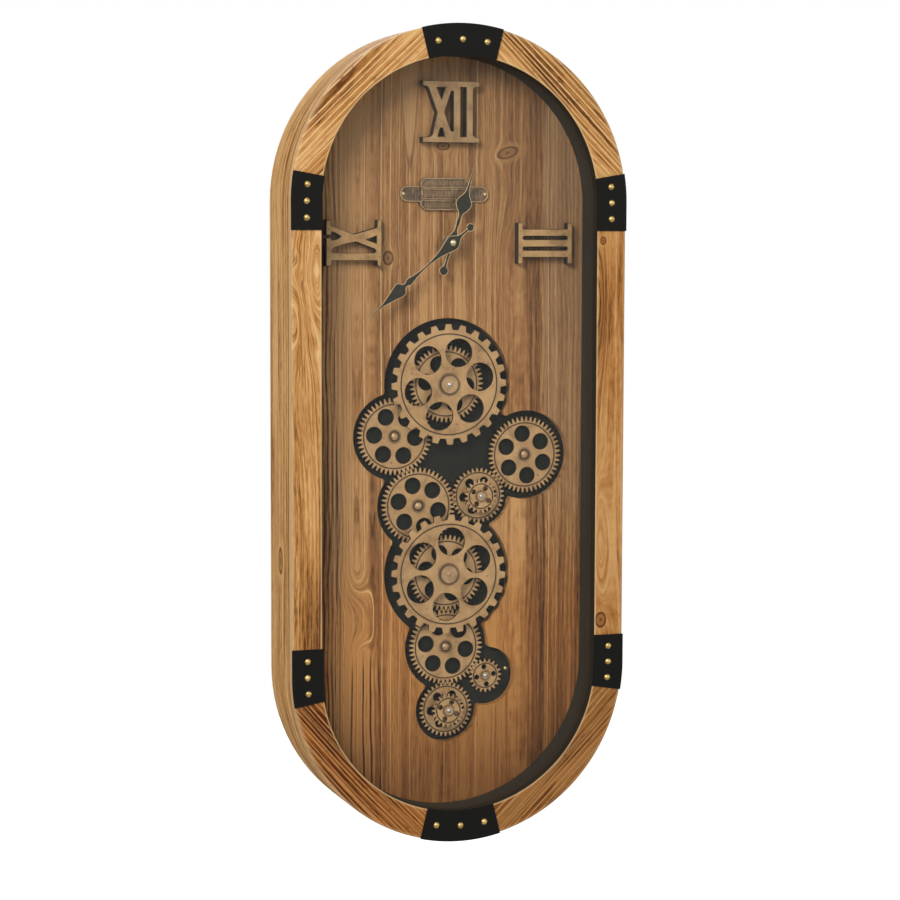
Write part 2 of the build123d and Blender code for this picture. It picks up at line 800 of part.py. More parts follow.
def cell(centre_depth):
    body = Cylinder(cell_radius, cell_length) + Pos(0, 0, (cell_length + cell_nub) / 2) * Cylinder(
        cell_nub_radius, cell_nub
    )
    return Pos(0, 0, centre_depth) * Rot(0, QUARTER_TURN, 0) * body


def movement_outline(width, top, bottom):
    return Pos(0, (top - bottom) / 2) * Rectangle(width, top + bottom)


def movement_pieces():
    spot = (0, pivot_rise)
    room_depth = (movement_back, dial_back - movement_wall)
    outline = RectangleRounded(movement_width, movement_top + movement_bottom, movement_corner)
    outline = Pos(0, (movement_top - movement_bottom) / 2) * outline
    case = slab(outline, movement_back, dial_back)
    inner_width = movement_width - 2 * movement_wall
    gear_room = movement_outline(inner_width, movement_top - movement_wall, bay_wall_top)
    case -= slab(gear_room, *room_depth)
    bay_top = -(bay_wall_top + bay_wall)
    bay = movement_outline(inner_width, bay_top, movement_bottom - movement_wall)
    case -= slab(bay, *room_depth)
    case += disc(bush_radius, dial_back, bush_front)
    case -= disc(bush_bore, dial_back - movement_wall, bush_front)
    lid_outline = movement_outline(movement_width, movement_top, bay_wall_top + bay_wall)
    cover = slab(lid_outline, movement_back - cover_thick, movement_back)
    shaft_hole = disc(minute_post_radius + small_clearance, movement_back - cover_thick, movement_back)
    cover -= Pos(0, motion_reach, 0) * shaft_hole
    nut_outline = RegularPolygon(nut_across / 2, nut_sides, major_radius=False)
    nut = slab(nut_outline - Circle(bush_radius + small_clearance), dial_front, dial_front + nut_thick)
    pieces = {"movement_case": case, "movement_cover": cover, "bushing_nut": nut}
    return {name: place(piece, spot) for name, piece in pieces.items()}


def motion_works():
    cannon = toothed(cannon_teeth, cannon_tip, cannon_root, cannon_tip_land, cannon_root_land, 0)
    arbor = slab(cannon, cannon_back, cannon_front) + disc(arbor_radius, arbor_back, arbor_front)
    turn = mesh_phase(0, cannon_teeth, 0, minute_wheel_teeth)
    rim = toothed(minute_wheel_teeth, minute_tip, minute_root, minute_tip_land, minute_root_land, turn)
    leaves = toothed(motion_pinion_teeth, leaf_tip, leaf_root, leaf_tip_land, leaf_root_land, 0)
    minute_wheel = slab(rim, cannon_back, cannon_front) + slab(leaves, cannon_front, hour_wheel_front)
    minute_wheel += disc(minute_post_radius, minute_post_back, minute_post_front)
    knob = disc(knob_radius, knob_back, knob_front)
    notches = PolarLocations(knob_radius, knob_notches)
    knob -= [notch * disc(knob_notch, knob_back, knob_front) for notch in notches]
    knob -= disc(minute_post_radius + small_clearance, minute_post_back, knob_front)
    turn = mesh_phase(0, motion_pinion_teeth, HALF_TURN, hour_wheel_teeth)
    rim = toothed(hour_wheel_teeth, hour_tip, hour_root, hour_tip_land, hour_root_land, turn)
    hour_wheel = slab(rim, hour_wheel_back, hour_wheel_front)
    hour_wheel += disc(hour_tube, hour_wheel_back, hour_tube_front)
    hour_wheel -= disc(hour_tube_bore, hour_wheel_back, hour_tube_front)
    pieces = {
        "minute_arbor": arbor,
        "minute_wheel": Pos(0, motion_reach, 0) * minute_wheel,
        "setting_knob": Pos(0, motion_reach, 0) * knob,
        "hour_wheel": hour_wheel,
    }
    return {name: place(piece, (0, pivot_rise)) for name, piece in pieces.items()}


def hand_outline(shares, length, width, ball, ball_reach):
    right = [(across * width / 2, along * length) for along, across in shares]
    left = [(-x, y) for x, y in reversed(right)]
    return face_of(right + left) + Pos(0, -ball_reach) * Circle(ball)


def hands():
    hour = hand_outline(hour_edge_shares, hour_hand_length, hour_hand_width, hour_ball, hour_ball_reach)
    hour = hour + Circle(hour_hub) - Circle(hour_tube + small_clearance)
    minute = hand_outline(
        minute_edge_shares, minute_hand_length, minute_hand_width, minute_ball, minute_ball_reach
    )
    minute = minute - Circle(arbor_radius + small_clearance)
    hour_hand = slab(Rot(0, 0, -hour_hand_angle) * hour, hour_hand_back, hour_hand_back + hand_thick)
    minute_front = minute_hand_back + hand_thick
    minute_hand = slab(Rot(0, 0, -minute_hand_angle) * minute, minute_hand_back, minute_front)
    rim = minute_front + hand_nut_rim
    nut = disc(hand_nut_radius, minute_front, rim) + Pos(0, 0, rim) * dome(hand_nut_radius, hand_nut_rise)
    nut -= disc(arbor_radius + small_clearance, minute_front, arbor_front + small_clearance)
    pieces = {"hour_hand": hour_hand, "minute_hand": minute_hand, "hand_nut": nut}
    return {name: place(piece, (0, pivot_rise)) for name, piece in pieces.items()}


def bay_rows():
    top = -(motor_room + drive_wall)
    pitch = 2 * cell_radius + cell_gap
    return [top - cell_gap - cell_radius - row * pitch for row in range(cell_rows)]


def switch_spot():
    return drive_width / 2 - drive_wall


def drive_pieces():
    places, _ = gear_places()
    spot = places["lower"]
    depths = (drive_back, well_plate_back - drive_wall)
    height = drive_top + drive_bottom
    outline = Pos(0, (drive_top - drive_bottom) / 2) * RectangleRounded(drive_width, height, drive_corner)
    case = slab(outline, drive_back, well_plate_back)
    inner_width = drive_width - 2 * drive_wall
    case -= slab(movement_outline(inner_width, drive_top - drive_wall, motor_room), *depths)
    bay_top = -(motor_room + drive_wall)
    bay = movement_outline(inner_width, bay_top, drive_bottom - drive_wall)
    case -= slab(bay, *depths)
    case -= disc(bore_radius, well_plate_back - drive_wall, well_plate_back)
    middle = (drive_back + well_plate_back) / 2
    slot_height = switch_knob_height + switch_travel + 2 * switch_slack
    slot_depth = switch_knob_depth + 2 * switch_slack
    slot = Box(drive_wall, slot_height, slot_depth, align=(Align.MIN, Align.MAX, Align.CENTER))
    case -= Pos(switch_spot(), switch_reach + switch_slack, middle) * slot
    lid_split = -(motor_room + drive_wall / 2)
    lid_outline = movement_outline(drive_width, drive_top, -lid_split - lid_gap)
    lid_front = drive_back - lid_gap
    cover = slab(lid_outline, lid_front - lid_thick, lid_front)
    door = slab(movement_outline(drive_width, lid_split, drive_bottom), lid_front - lid_thick, lid_front)
    grip = Box(door_grip_length, door_grip_width, door_grip_rise)
    grip_rise = lid_front - lid_thick - door_grip_rise / 2
    for row in range(door_grip_count):
        door += Pos(0, door_grip_pitch * (row + 1) - drive_bottom, grip_rise) * grip
    motor = disc(motor_radius, motor_back, motor_nose_back) + disc(motor_nose, motor_nose_back, motor_front)
    motor -= disc(bore_radius, motor_bore_back, motor_front)
    knob = Box(
        drive_wall + switch_proud, switch_knob_height, switch_knob_depth,
        align=(Align.MIN, Align.MAX, Align.CENTER),
    )
    flange = Box(
        switch_flange_thick, switch_knob_height + 2 * switch_flange, switch_knob_depth + 2 * switch_flange,
        align=(Align.MAX, Align.CENTER, Align.CENTER),
    )
    neck = Box(
        switch_slack, switch_knob_height, switch_knob_depth, align=(Align.MAX, Align.MAX, Align.CENTER)
    )
    slider = knob + neck + Pos(-switch_slack, -switch_knob_height / 2, 0) * flange
    slider = Pos(switch_spot(), switch_reach, middle) * slider
    pieces = {
        "drive_case": case,
        "drive_cover": cover,
        "battery_door": door,
        "drive_motor": motor,
        "switch_slider": slider,
    }
    return {name: place(piece, spot) for name, piece in pieces.items()}


def cells():
    places, _ = gear_places()
    x, y = places["lower"]
    middle = (drive_back + well_plate_back - drive_wall) / 2 + cell_row_offset
    made = [Pos(x, y + row, 0) * cell(middle) for row in bay_rows()]
    bay_middle = (bay_wall_top + bay_wall + movement_bottom - movement_wall) / 2
    clock_depth = (movement_back + dial_back - movement_wall) / 2
    made.append(Pos(0, pivot_rise - bay_middle, 0) * cell(clock_depth))
    return made


def main():
    pieces = {}
    pieces.update(ring_boards())
    pieces.update(joint_plates())
    pieces["plate_nails"] = plate_nails()
    pieces.update(shell_pieces())
    pieces.update(hanger_pieces())
    pieces.update(numerals())
    pieces["name_plaque"] = name_plaque()
    pieces["small_screws"] = small_screws()
    pieces.update(gears())
    pieces.update(posts_and_caps())
    pieces.update(dial_pieces())
    pieces["drive_shaft"] = drive_shaft()
    pieces.update(movement_pieces())
    pieces.update(motion_works())
    pieces.update(hands())
    pieces.update(drive_pieces())
    pieces["battery_cells"] = cells()
    for name, piece in pieces.items():
        write(name, piece)


main()
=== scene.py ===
import json
import math
from types import SimpleNamespace

import bmesh
import bpy
from mathutils import Matrix, Vector


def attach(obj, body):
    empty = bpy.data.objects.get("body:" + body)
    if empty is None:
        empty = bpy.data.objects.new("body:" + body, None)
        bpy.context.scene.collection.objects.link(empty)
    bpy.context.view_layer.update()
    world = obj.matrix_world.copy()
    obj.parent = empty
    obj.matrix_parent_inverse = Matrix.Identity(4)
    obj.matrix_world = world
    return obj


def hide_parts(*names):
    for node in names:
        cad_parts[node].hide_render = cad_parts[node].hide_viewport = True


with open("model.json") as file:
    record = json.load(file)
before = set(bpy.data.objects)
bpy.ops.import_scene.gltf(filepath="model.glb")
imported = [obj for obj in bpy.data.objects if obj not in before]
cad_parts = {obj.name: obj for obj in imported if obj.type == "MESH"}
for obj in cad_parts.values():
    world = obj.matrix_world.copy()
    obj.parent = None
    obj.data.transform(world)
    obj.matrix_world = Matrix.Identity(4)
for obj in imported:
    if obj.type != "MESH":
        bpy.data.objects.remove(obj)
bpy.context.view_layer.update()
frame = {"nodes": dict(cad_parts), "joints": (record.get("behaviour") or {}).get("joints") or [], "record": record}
nodes = frame["nodes"]

MILLIMETRE = 0.001
WHITE = (1.0, 1.0, 1.0, 1.0)

# Where things are, in metres: the origin is at the hangers, 0.3 m above the case's middle
CASE_MIDDLE = -0.3
STRAIGHT_HALF = 0.229
RING_OPENING = 0.141
RING_OUTER = 0.171
RING_BACK = -0.07
DIAL_HALF = 0.143
FINE_FRONT = -0.035
GREAT_FRONT = -0.044
NUMERAL_FRONT = -0.048

# How far along their grain the middles of the ring's upper and lower arcs lie
UPPER_ARC_ALONG = (CASE_MIDDLE + STRAIGHT_HALF) / math.sqrt(2)
LOWER_ARC_ALONG = (CASE_MIDDLE - STRAIGHT_HALF) / math.sqrt(2)

# The camera stands where the photograph was taken. Angles are in degrees, lens and sensor in mm
CAMERA_PLACE = Vector((-0.7797, -2.3648, -0.1036))
CAMERA_YAW, CAMERA_PITCH, CAMERA_ROLL = 18.592, 4.941, 0.165
CAMERA_LENS = 99.136
SENSOR_WIDTH = 36.0

# The lamps' places, sizes and powers. All of them point at the case's middle
LAMPS = {
    "key": ((-1.8, -2.1, 1.1), 1.3, 70.0),
    "fill": ((1.6, -2.4, 0.3), 1.6, 10.5),
    "rim": ((0.5, 2.2, 1.2), 1.6, 34.0),
}
BACKDROP_STRENGTH = 1.0
WORLD_STRENGTH = 0.33
FLOOR_HALF = 8.0
FLOOR_HEIGHT = -2.2
FLOOR_WHITE = 0.9

body_of_node = {node: body for body, members in frame["record"]["behaviour"]["bodies"].items()
                for node in members}
axle_of_body = {joint["child"]: Vector(joint["pos_m"]) for joint in frame["joints"]
                if joint["type"] == "hinge"}


def rgb(red, green, blue):
    """A colour as it looks on screen, from 0 to 255, turned into the shader's linear values."""
    def linear(value):
        share = value / 255
        return share / 12.92 if share <= 0.04045 else ((share + 0.055) / 1.055) ** 2.4
    return (linear(red), linear(green), linear(blue), 1.0)


class Graph:
    """A material with one Principled shader and the nodes that drive it."""

    def __init__(self, name, **settings):
        self.material = bpy.data.materials.new(name)
        self.material.use_nodes = True
        self.tree = self.material.node_tree
        self.tree.nodes.clear()
        output = self.tree.nodes.new("ShaderNodeOutputMaterial")
        self.shader = self.tree.nodes.new("ShaderNodeBsdfPrincipled")
        self.tree.links.new(self.shader.outputs[0], output.inputs["Surface"])
        self.place = self.tree.nodes.new("ShaderNodeTexCoord").outputs["Object"]
        for socket, value in settings.items():
            self.set(socket.replace("_", " "), value)

    def set(self, socket, value):
        self.join(self.shader.inputs[socket], value)

    def join(self, socket, value):
        """Feeds a socket from another socket, or gives it a plain value."""
        if isinstance(value, bpy.types.NodeSocket):
            self.tree.links.new(value, socket)
        else:
            socket.default_value = value

    def node(self, kind, output, values, **settings):
        """Adds a node, feeds its inputs and gives one of its outputs."""
        made = self.tree.nodes.new(kind)
        for key, value in settings.items():
            setattr(made, key, value)
        for socket, value in values.items():
            self.join(made.inputs[socket], value)
        return made.outputs[output]

    def math(self, operation, *values):
        return self.node("ShaderNodeMath", 0, dict(enumerate(values)), operation=operation)

    def add(self, first, second):
        return self.math("ADD", first, second)

    def less(self, first, second):
        return self.math("SUBTRACT", first, second)

    def times(self, first, second):
        return self.math("MULTIPLY", first, second)

    def total(self, *terms):
        share = terms[0]
        for term in terms[1:]:
            share = self.add(share, term)
        return share

    def centred(self, value):
        """Shifts a value that runs from 0 to 1, so that it runs to both sides of zero."""
        return self.less(value, 0.5)

    def distance(self, value, centre):
        return self.math("ABSOLUTE", self.less(value, centre))

    def squares(self, first, second):
        """The sum of two squares."""
        return self.add(self.times(first, first), self.times(second, second))

    def length(self, first, second):
        return self.math("SQRT", self.squares(first, second))

    def split(self, vector=None):
        """The three parts of a vector: the place on the object, where none is given."""
        made = self.tree.nodes.new("ShaderNodeSeparateXYZ")
        self.join(made.inputs[0], self.place if vector is None else vector)
        return made.outputs[:]

    def vector(self, x, y, z):
        return self.node("ShaderNodeCombineXYZ", 0, {0: x, 1: y, 2: z})

    def noise(self, vector, scale=1.0, detail=2.0, roughness=0.5):
        values = {"Vector": vector, "Scale": scale, "Detail": detail, "Roughness": roughness}
        return self.node("ShaderNodeTexNoise", 0, values)

    def stretched(self, places, kind, shift=0.0):
        """Noise with a scale of its own for each coordinate. A shift moves the last one."""
        scales, detail, roughness = kind
        scaled = [self.times(place, scale) for place, scale in zip(places, scales)]
        if shift:
            scaled[2] = self.add(scaled[2], shift)
        return self.noise(self.vector(*scaled), 1.0, detail, roughness)

    def smooth(self, value, low, high, start=0.0, end=1.0):
        """A soft step: start where the value is low, end where it is high. low may lie above high."""
        values = {"Value": value, "From Min": low, "From Max": high, "To Min": start, "To Max": end}
        return self.node("ShaderNodeMapRange", 0, values, interpolation_type="SMOOTHSTEP")

    def ramp(self, value, stops, interpolation="LINEAR"):
        """A colour ramp. Each stop is a position with a colour or a grey level."""
        made = self.tree.nodes.new("ShaderNodeValToRGB")
        ramp = made.color_ramp
        ramp.interpolation = interpolation
        while len(ramp.elements) < len(stops):
            ramp.elements.new(0.5)
        for element, (position, colour) in zip(ramp.elements, stops):
            element.position = position
            element.color = colour if isinstance(colour, tuple) else (colour, colour, colour, 1.0)
        self.join(made.inputs[0], value)
        return made.outputs[0]

    def mix(self, share, first, second, blend="MIX"):
        made = self.tree.nodes.new("ShaderNodeMix")
        made.data_type = "RGBA"
        made.blend_type = blend
        self.join(made.inputs[0], share)
        self.join(made.inputs[6], first)
        self.join(made.inputs[7], second)
        return made.outputs[2]

    def stained(self, colour, stain):
        return self.mix(1.0, colour, stain, "MULTIPLY")

    def bump(self, height, strength, distance):
        values = {"Height": height, "Strength": strength, "Distance": distance}
        self.set("Normal", self.node("ShaderNodeBump", 0, values))

    def facing(self):
        """How much a face looks out of the wall: 1 on the front faces, 0 on the edges."""
        normal = self.node("ShaderNodeNewGeometry", "True Normal", {})
        return self.times(self.split(normal)[1], -1.0)


def speckle(g, scale, detail=3.0, roughness=0.6):
    return g.noise(g.place, scale, detail, roughness)


def from_axle(g, centre):
    """The distance from an axle that runs straight out of the wall."""
    x, _, z = g.split()
    return g.length(g.less(x, centre.x), g.less(z, centre.z))


def paint(node, graph):
    """Gives a node its material in every slot."""
    piece = nodes[node]
    if not piece.material_slots:
        piece.data.materials.append(graph.material)
    for slot in piece.material_slots:
        slot.material = graph.material


# Noises in the wood: their scales across, through and along the grain, detail and roughness
SLOW = ((9.0, 9.0, 1.6), 2.0, 0.5)
CLUSTER = ((30.0, 9.0, 1.4), 2.0, 0.5)
PATCH = ((13.0, 13.0, 3.5), 2.0, 0.5)
STREAK = ((50.0, 40.0, 3.4), 3.0, 0.6)
BROKEN = ((150.0, 60.0, 150.0), 3.0, 0.7)
FIBRE = ((430.0, 300.0, 9.0), 3.0, 0.7)
SPECK = ((620.0, 400.0, 90.0), 2.0, 0.6)
PORE = ((520.0, 300.0, 38.0), 1.0, 0.5)
RUFFLE = ((46.0, 20.0, 17.0), 1.5, 0.5)
BLOT = ((75.0, 30.0, 9.0), 3.0, 0.6)

# How far a centred noise is stretched to reach the wander that a board names, the grain's small
# spread in metres, how it leans with the depth in the board, and how dark wood without marks is
WANDER_GAIN = 4
GRAIN_SPREAD = 0.022
GRAIN_LEAN = 0.35
PLAIN_DARKNESS = 0.3

# Strengths over the width of one growth line, for its late wood, pale ridge, groove or thread
LATE_STOPS = ((0.0, 0.0), (0.6, 0.08), (0.86, 0.8), (0.94, 1.0), (0.97, 0.2), (1.0, 0.0))
RIDGE_STOPS = ((0.0, 1.0), (0.05, 1.0), (0.09, 0.0), (0.95, 0.0), (0.99, 1.0), (1.0, 1.0))
GROOVE_STOPS = ((0.0, 0.0), (0.3, 0.1), (0.5, 1.0), (0.72, 1.0), (0.88, 0.1), (1.0, 0.0))
THREAD_STOPS = ((0.0, 1.0), (0.12, 1.0), (0.24, 0.0), (0.88, 0.0), (0.96, 1.0), (1.0, 1.0))

PLAIN_BOARD = {
    # Growth rings, fine lines and pale ridges, in lines a metre
    "rings": 90.0, "fine": 300.0, "ridge_rate": 90.0,
    # How far the grain wanders, in metres, and the seed of its pattern
    "wander": 0.012, "seed": 0.0,
    # How strongly each kind of mark shows
    "burn": 0.6, "ridges": 0.7, "threads": 0.8, "streaks": 1.0, "fibres": 1.7, "patches": 0.9,
    "dashes": 0.6,
    # The random number above which a fine line shows as a pale thread
    "gate": 0.15,
    # Where the grain bends: swellings, nested arches, ruffled lengths and knots
    "figures": (), "arches": (), "curls": (), "knots": (),
    # Glued strips, as their number a metre and contrast, and burns, as for scorched
    "planks": (), "scorches": (),
    # Functions that add tones, scale the lines, cut grooves and change the finished colour
    "strips": None, "lines": None, "grooves": None, "tone": None,
    "bump": 0.3, "shine": 0.12,
}


def bulge(g, across, along, figures):
    """Swells the grain round long soft centres, which draws the pointed arches of a flat-sawn board."""
    for centre_across, centre_along, half_across, half_along, push in figures:
        share_across = g.math("DIVIDE", g.less(across, centre_across), half_across)
        share_along = g.math("DIVIDE", g.less(along, centre_along), half_along)
        square = g.squares(share_across, share_along)
        across = g.add(across, g.times(g.math("EXPONENT", g.times(square, -1.0)), push))
    return across


def knot_flow(g, across, along, knots):
    """Bends the grain round each knot. Gives the bent coordinate and the distance to the nearest knot."""
    nearest = 9.0
    for centre_across, centre_along, half_across, half_along, tilt in knots:
        sine, cosine = math.sin(math.radians(tilt)), math.cos(math.radians(tilt))
        from_across = g.less(across, centre_across)
        from_along = g.less(along, centre_along)
        turned_across = g.add(g.times(from_across, cosine), g.times(from_along, sine))
        turned_along = g.less(g.times(from_along, cosine), g.times(from_across, sine))
        square = g.squares(g.math("DIVIDE", turned_across, half_across),
                           g.math("DIVIDE", turned_along, half_along))
        near = g.math("EXPONENT", g.times(square, -0.4))
        across = g.less(across, g.times(from_across, near))
        nearest = g.math("MINIMUM", nearest, g.math("SQRT", square))
    return across, nearest


def tongues(g, across, along, shapes):
    """Swells the grain beyond a tip, which draws nested arches that stay open away from the tip."""
    for centre, tip, half_across, length, push in shapes:
        share = g.math("DIVIDE", g.less(across, centre), half_across)
        bell = g.math("EXPONENT", g.times(g.times(share, share), -1.0))
        grown = g.smooth(along, tip, tip + length)
        across = g.add(across, g.times(g.times(bell, grown), push))
    return across


def flames(g, across, along, through, curls):
    """Ruffles the grain over some lengths of a board, as near a root or a branch."""
    for centre_along, reach, push in curls:
        away = g.distance(along, centre_along)
        ruffle = g.centred(g.stretched((across, through, along), RUFFLE))
        across = g.add(across, g.times(g.times(ruffle, g.smooth(away, reach, reach * 0.3)), push))
    return across


def grain_flow(g, flat, look):
    """The bent coordinate across the grain, and the distance to the nearest knot."""
    u, w, v = flat
    slow = g.stretched(flat, SLOW, look.seed)
    bent, nearest = knot_flow(g, u, v, look.knots)
    bent = g.add(bent, g.times(g.centred(slow), look.wander * WANDER_GAIN))
    bent = bulge(g, bent, v, look.figures)
    bent = tongues(g, bent, v, look.arches)
    bent = flames(g, bent, v, w, look.curls)
    spread = g.noise(g.vector(g.times(bent, 34.0), g.times(w, 6.0), look.seed + 3.0), detail=1.0)
    bent = g.add(bent, g.times(g.centred(spread), GRAIN_SPREAD))
    return g.add(bent, g.times(w, GRAIN_LEAN)), nearest


def growth_lines(g, place, per_metre, seed):
    """Growth rings: a saw wave across the grain, and a random number for each ring."""
    phase = g.add(g.times(place, per_metre), seed)
    number = g.math("FLOOR", phase)
    each = g.node("ShaderNodeTexWhiteNoise", "Value", {"W": number}, noise_dimensions="1D")
    return g.math("FRACT", phase), each


def ring_marks(g, grain, look):
    """Dark late wood, fine dark lines, and the pale ridges that the brush left standing."""
    wide, wide_each = growth_lines(g, grain[0], look.rings, look.seed)
    thin, thin_each = growth_lines(g, grain[0], look.fine, look.seed * 2)
    proud, proud_each = growth_lines(g, grain[0], look.ridge_rate, look.seed * 3 + 0.4)
    late = g.times(g.ramp(wide, LATE_STOPS), g.smooth(wide_each, 0.0, 1.0, 0.15, 1.0))
    thin_late = g.times(g.ramp(thin, LATE_STOPS), thin_each)
    crest = g.times(g.ramp(proud, RIDGE_STOPS), g.smooth(proud_each, 0.45, 0.62))
    thread = g.times(g.ramp(thin, THREAD_STOPS), g.smooth(thin_each, look.gate, look.gate + 0.4))
    crest = g.math("MAXIMUM", crest, g.times(thread, look.threads))
    broken = g.stretched(grain, BROKEN)
    return late, thin_late, g.times(crest, g.smooth(broken, 0.32, 0.48, 0.3, 1.0))


def ring_contrast(g, flat, grain, look):
    """How strongly the growth rings show, from place to place."""
    u, _, v = flat
    busy = g.smooth(g.stretched(grain, CLUSTER, look.seed), 0.38, 0.6, 0.25, 1.15)
    return busy if look.lines is None else g.times(busy, look.lines(g, u, v))


def brush_marks(g, flat, grain, fibre, look):
    """What fibres, streaks, patches and pores add to the darkness."""
    streak = g.stretched(grain, STREAK)
    dash = g.times(g.smooth(g.stretched(grain, PORE), 0.6, 0.68), g.smooth(streak, 0.42, 0.6))
    return (
        g.times(g.centred(streak), 2.4 * look.streaks),
        g.times(g.centred(fibre), look.fibres),
        g.times(g.centred(g.stretched(grain, SPECK)), look.fibres * 0.5),
        g.times(g.centred(g.stretched(flat, PATCH)), look.patches),
        g.times(dash, look.dashes),
    )


def plank_tone(g, across, per_metre):
    """A random tone for each strip of a glued board, with sharp edges between the strips."""
    values = {"W": g.times(across, per_metre), "Scale": 1.0}
    strip = g.node("ShaderNodeTexVoronoi", "Color", values, voronoi_dimensions="1D")
    return g.centred(g.split(strip)[0])


def scorched(g, across, along, through, marks):
    """Darker brushed-out burns over some lengths of a board: a middle, a reach and a strength."""
    share = 0.0
    for centre_along, reach, strength in marks:
        away = g.distance(along, centre_along)
        blot = g.smooth(g.stretched((across, through, along), BLOT), 0.4, 0.58)
        share = g.add(share, g.times(g.times(blot, g.smooth(away, reach, reach * 0.2)), strength))
    return share


def board_tones(g, flat, grain, look):
    """What a board's strips, grooves and burns add to the darkness."""
    u, w, v = flat
    tones = [g.times(plank_tone(g, u, per_metre), contrast) for per_metre, contrast in look.planks]
    if look.strips is not None:
        tones.append(look.strips(g, u, v))
    if look.grooves is not None:
        tones.append(look.grooves(g, u, v))
    tones.append(scorched(g, grain[0], v, w, look.scorches))
    return tones


def paint_knots(g, colour, nearest, light, dark, knot):
    """A brown disc with a dark outline and heart, in a pale halo. nearest is 1 on the outline."""
    colour = g.mix(g.smooth(nearest, 2.6, 1.2, 0.0, 0.4), colour, light)
    inner = g.math("FRACT", g.times(nearest, 2.6))
    disc = g.mix(g.times(inner, 0.45), knot, dark)
    colour = g.mix(g.smooth(nearest, 1.12, 0.9, 0.0, 0.6), colour, disc)
    outline = g.smooth(g.distance(nearest, 1.0), 0.24, 0.1, 0.0, 0.9)
    heart = g.smooth(nearest, 0.34, 0.16, 0.0, 0.8)
    return g.mix(g.math("MAXIMUM", outline, heart), colour, dark)


def wood(name, across, along, through, palette, **changes):
    """Wire-brushed softwood. across, along and through pick the grain's axes in the board."""
    look = SimpleNamespace(**{**PLAIN_BOARD, **changes})
    light, middle, dark, ridge, knot = palette
    g = Graph(name, Roughness=0.66, Specular_IOR_Level=look.shine)
    x, y, z = g.split()
    flat = (across(g, x, y, z), through(g, x, y, z), along(g, x, y, z))
    bent, nearest = grain_flow(g, flat, look)
    grain = (bent, *flat[1:])
    late, thin_late, crest = ring_marks(g, grain, look)
    busy = ring_contrast(g, flat, grain, look)
    fibre = g.stretched(grain, FIBRE)
    darkness = g.total(
        PLAIN_DARKNESS,
        g.times(g.times(late, look.burn), busy),
        g.times(g.times(thin_late, look.burn * 0.7), busy),
        *brush_marks(g, flat, grain, fibre, look),
        *board_tones(g, flat, grain, look),
    )
    colour = g.ramp(darkness, ((0.0, light), (0.45, middle), (1.0, dark)))
    colour = g.mix(g.times(crest, look.ridges), colour, ridge)
    if look.knots:
        colour = paint_knots(g, colour, nearest, light, dark, knot)
    if look.tone is not None:
        colour = look.tone(g, colour, x, y, z)
    g.set("Base Color", colour)
    height = g.add(g.times(crest, 0.8), g.add(g.times(fibre, 0.5), g.times(late, -0.3)))
    g.bump(height, look.bump, 0.5 * MILLIMETRE)
    return g


def turned(angle):
    """Picks across and along for grain that runs at this angle, clockwise from upright."""
    sine, cosine = math.sin(math.radians(angle)), math.cos(math.radians(angle))

    def across(g, x, y, z):
        return g.less(g.times(x, cosine), g.times(z, sine))

    def along(g, x, y, z):
        return g.add(g.times(x, sine), g.times(z, cosine))

    return across, along


def depth(g, x, y, z):
    return y


def case_radius(g, x, z):
    """Distance from the case's spine: it is the same all round the ring."""
    beyond = g.less(g.distance(z, CASE_MIDDLE), STRAIGHT_HALF)
    return g.length(x, g.math("MAXIMUM", beyond, 0.0))


# Woods: light, middle and dark wood, pale ridges and knots
RING_PALETTE = (rgb(216, 172, 116), rgb(182, 130, 72), rgb(100, 57, 24), rgb(236, 202, 150),
                rgb(134, 82, 40))
BAND_PALETTE = (rgb(218, 174, 116), rgb(190, 140, 84), rgb(120, 76, 38), rgb(230, 194, 142),
                rgb(132, 94, 50))
DIAL_PALETTE = (rgb(198, 150, 96), rgb(154, 107, 62), rgb(80, 48, 24), rgb(222, 184, 130),
                rgb(140, 99, 60))
RAW_PALETTE = (rgb(214, 184, 142), rgb(196, 162, 118), rgb(164, 128, 88), rgb(222, 194, 154),
               rgb(130, 92, 58))

# The ring's paint, the painted shade of its seam to the side band, the colour where its wood is cut across, and
# its worn edges with a painted highlight
PAINT = rgb(44, 42, 36)
SEAM_SHADE = rgb(84, 56, 32)
END_GRAIN = rgb(196, 154, 104)
WORN_EDGE_HIGHLIGHT = rgb(222, 184, 132)
WORN_CORNER_HIGHLIGHT = rgb(220, 186, 136)

# How wide these are, in metres: the seam's painted shade, the worn and highlighted outer edge, and the
# worn and highlighted corner and the paint, which lie at the ring's opening and fade from their inner to their
# outer reach
SEAM_SHADE_REACH = 0.0011
WORN_HIGHLIGHT_WIDTH = 0.004
CORNER_OUTER, CORNER_INNER = 0.0024, 0.0012
PAINT_OUTER, PAINT_INNER = 0.0005, 0.0002


def seam_shade(g, colour, y):
    """A painted shadow: a thin dark line where the ring boards meet the side band, for the shade in the gap."""
    near = g.smooth(g.distance(y, RING_BACK), SEAM_SHADE_REACH, SEAM_SHADE_REACH * 0.3)
    return g.mix(g.times(near, 0.9), colour, SEAM_SHADE)


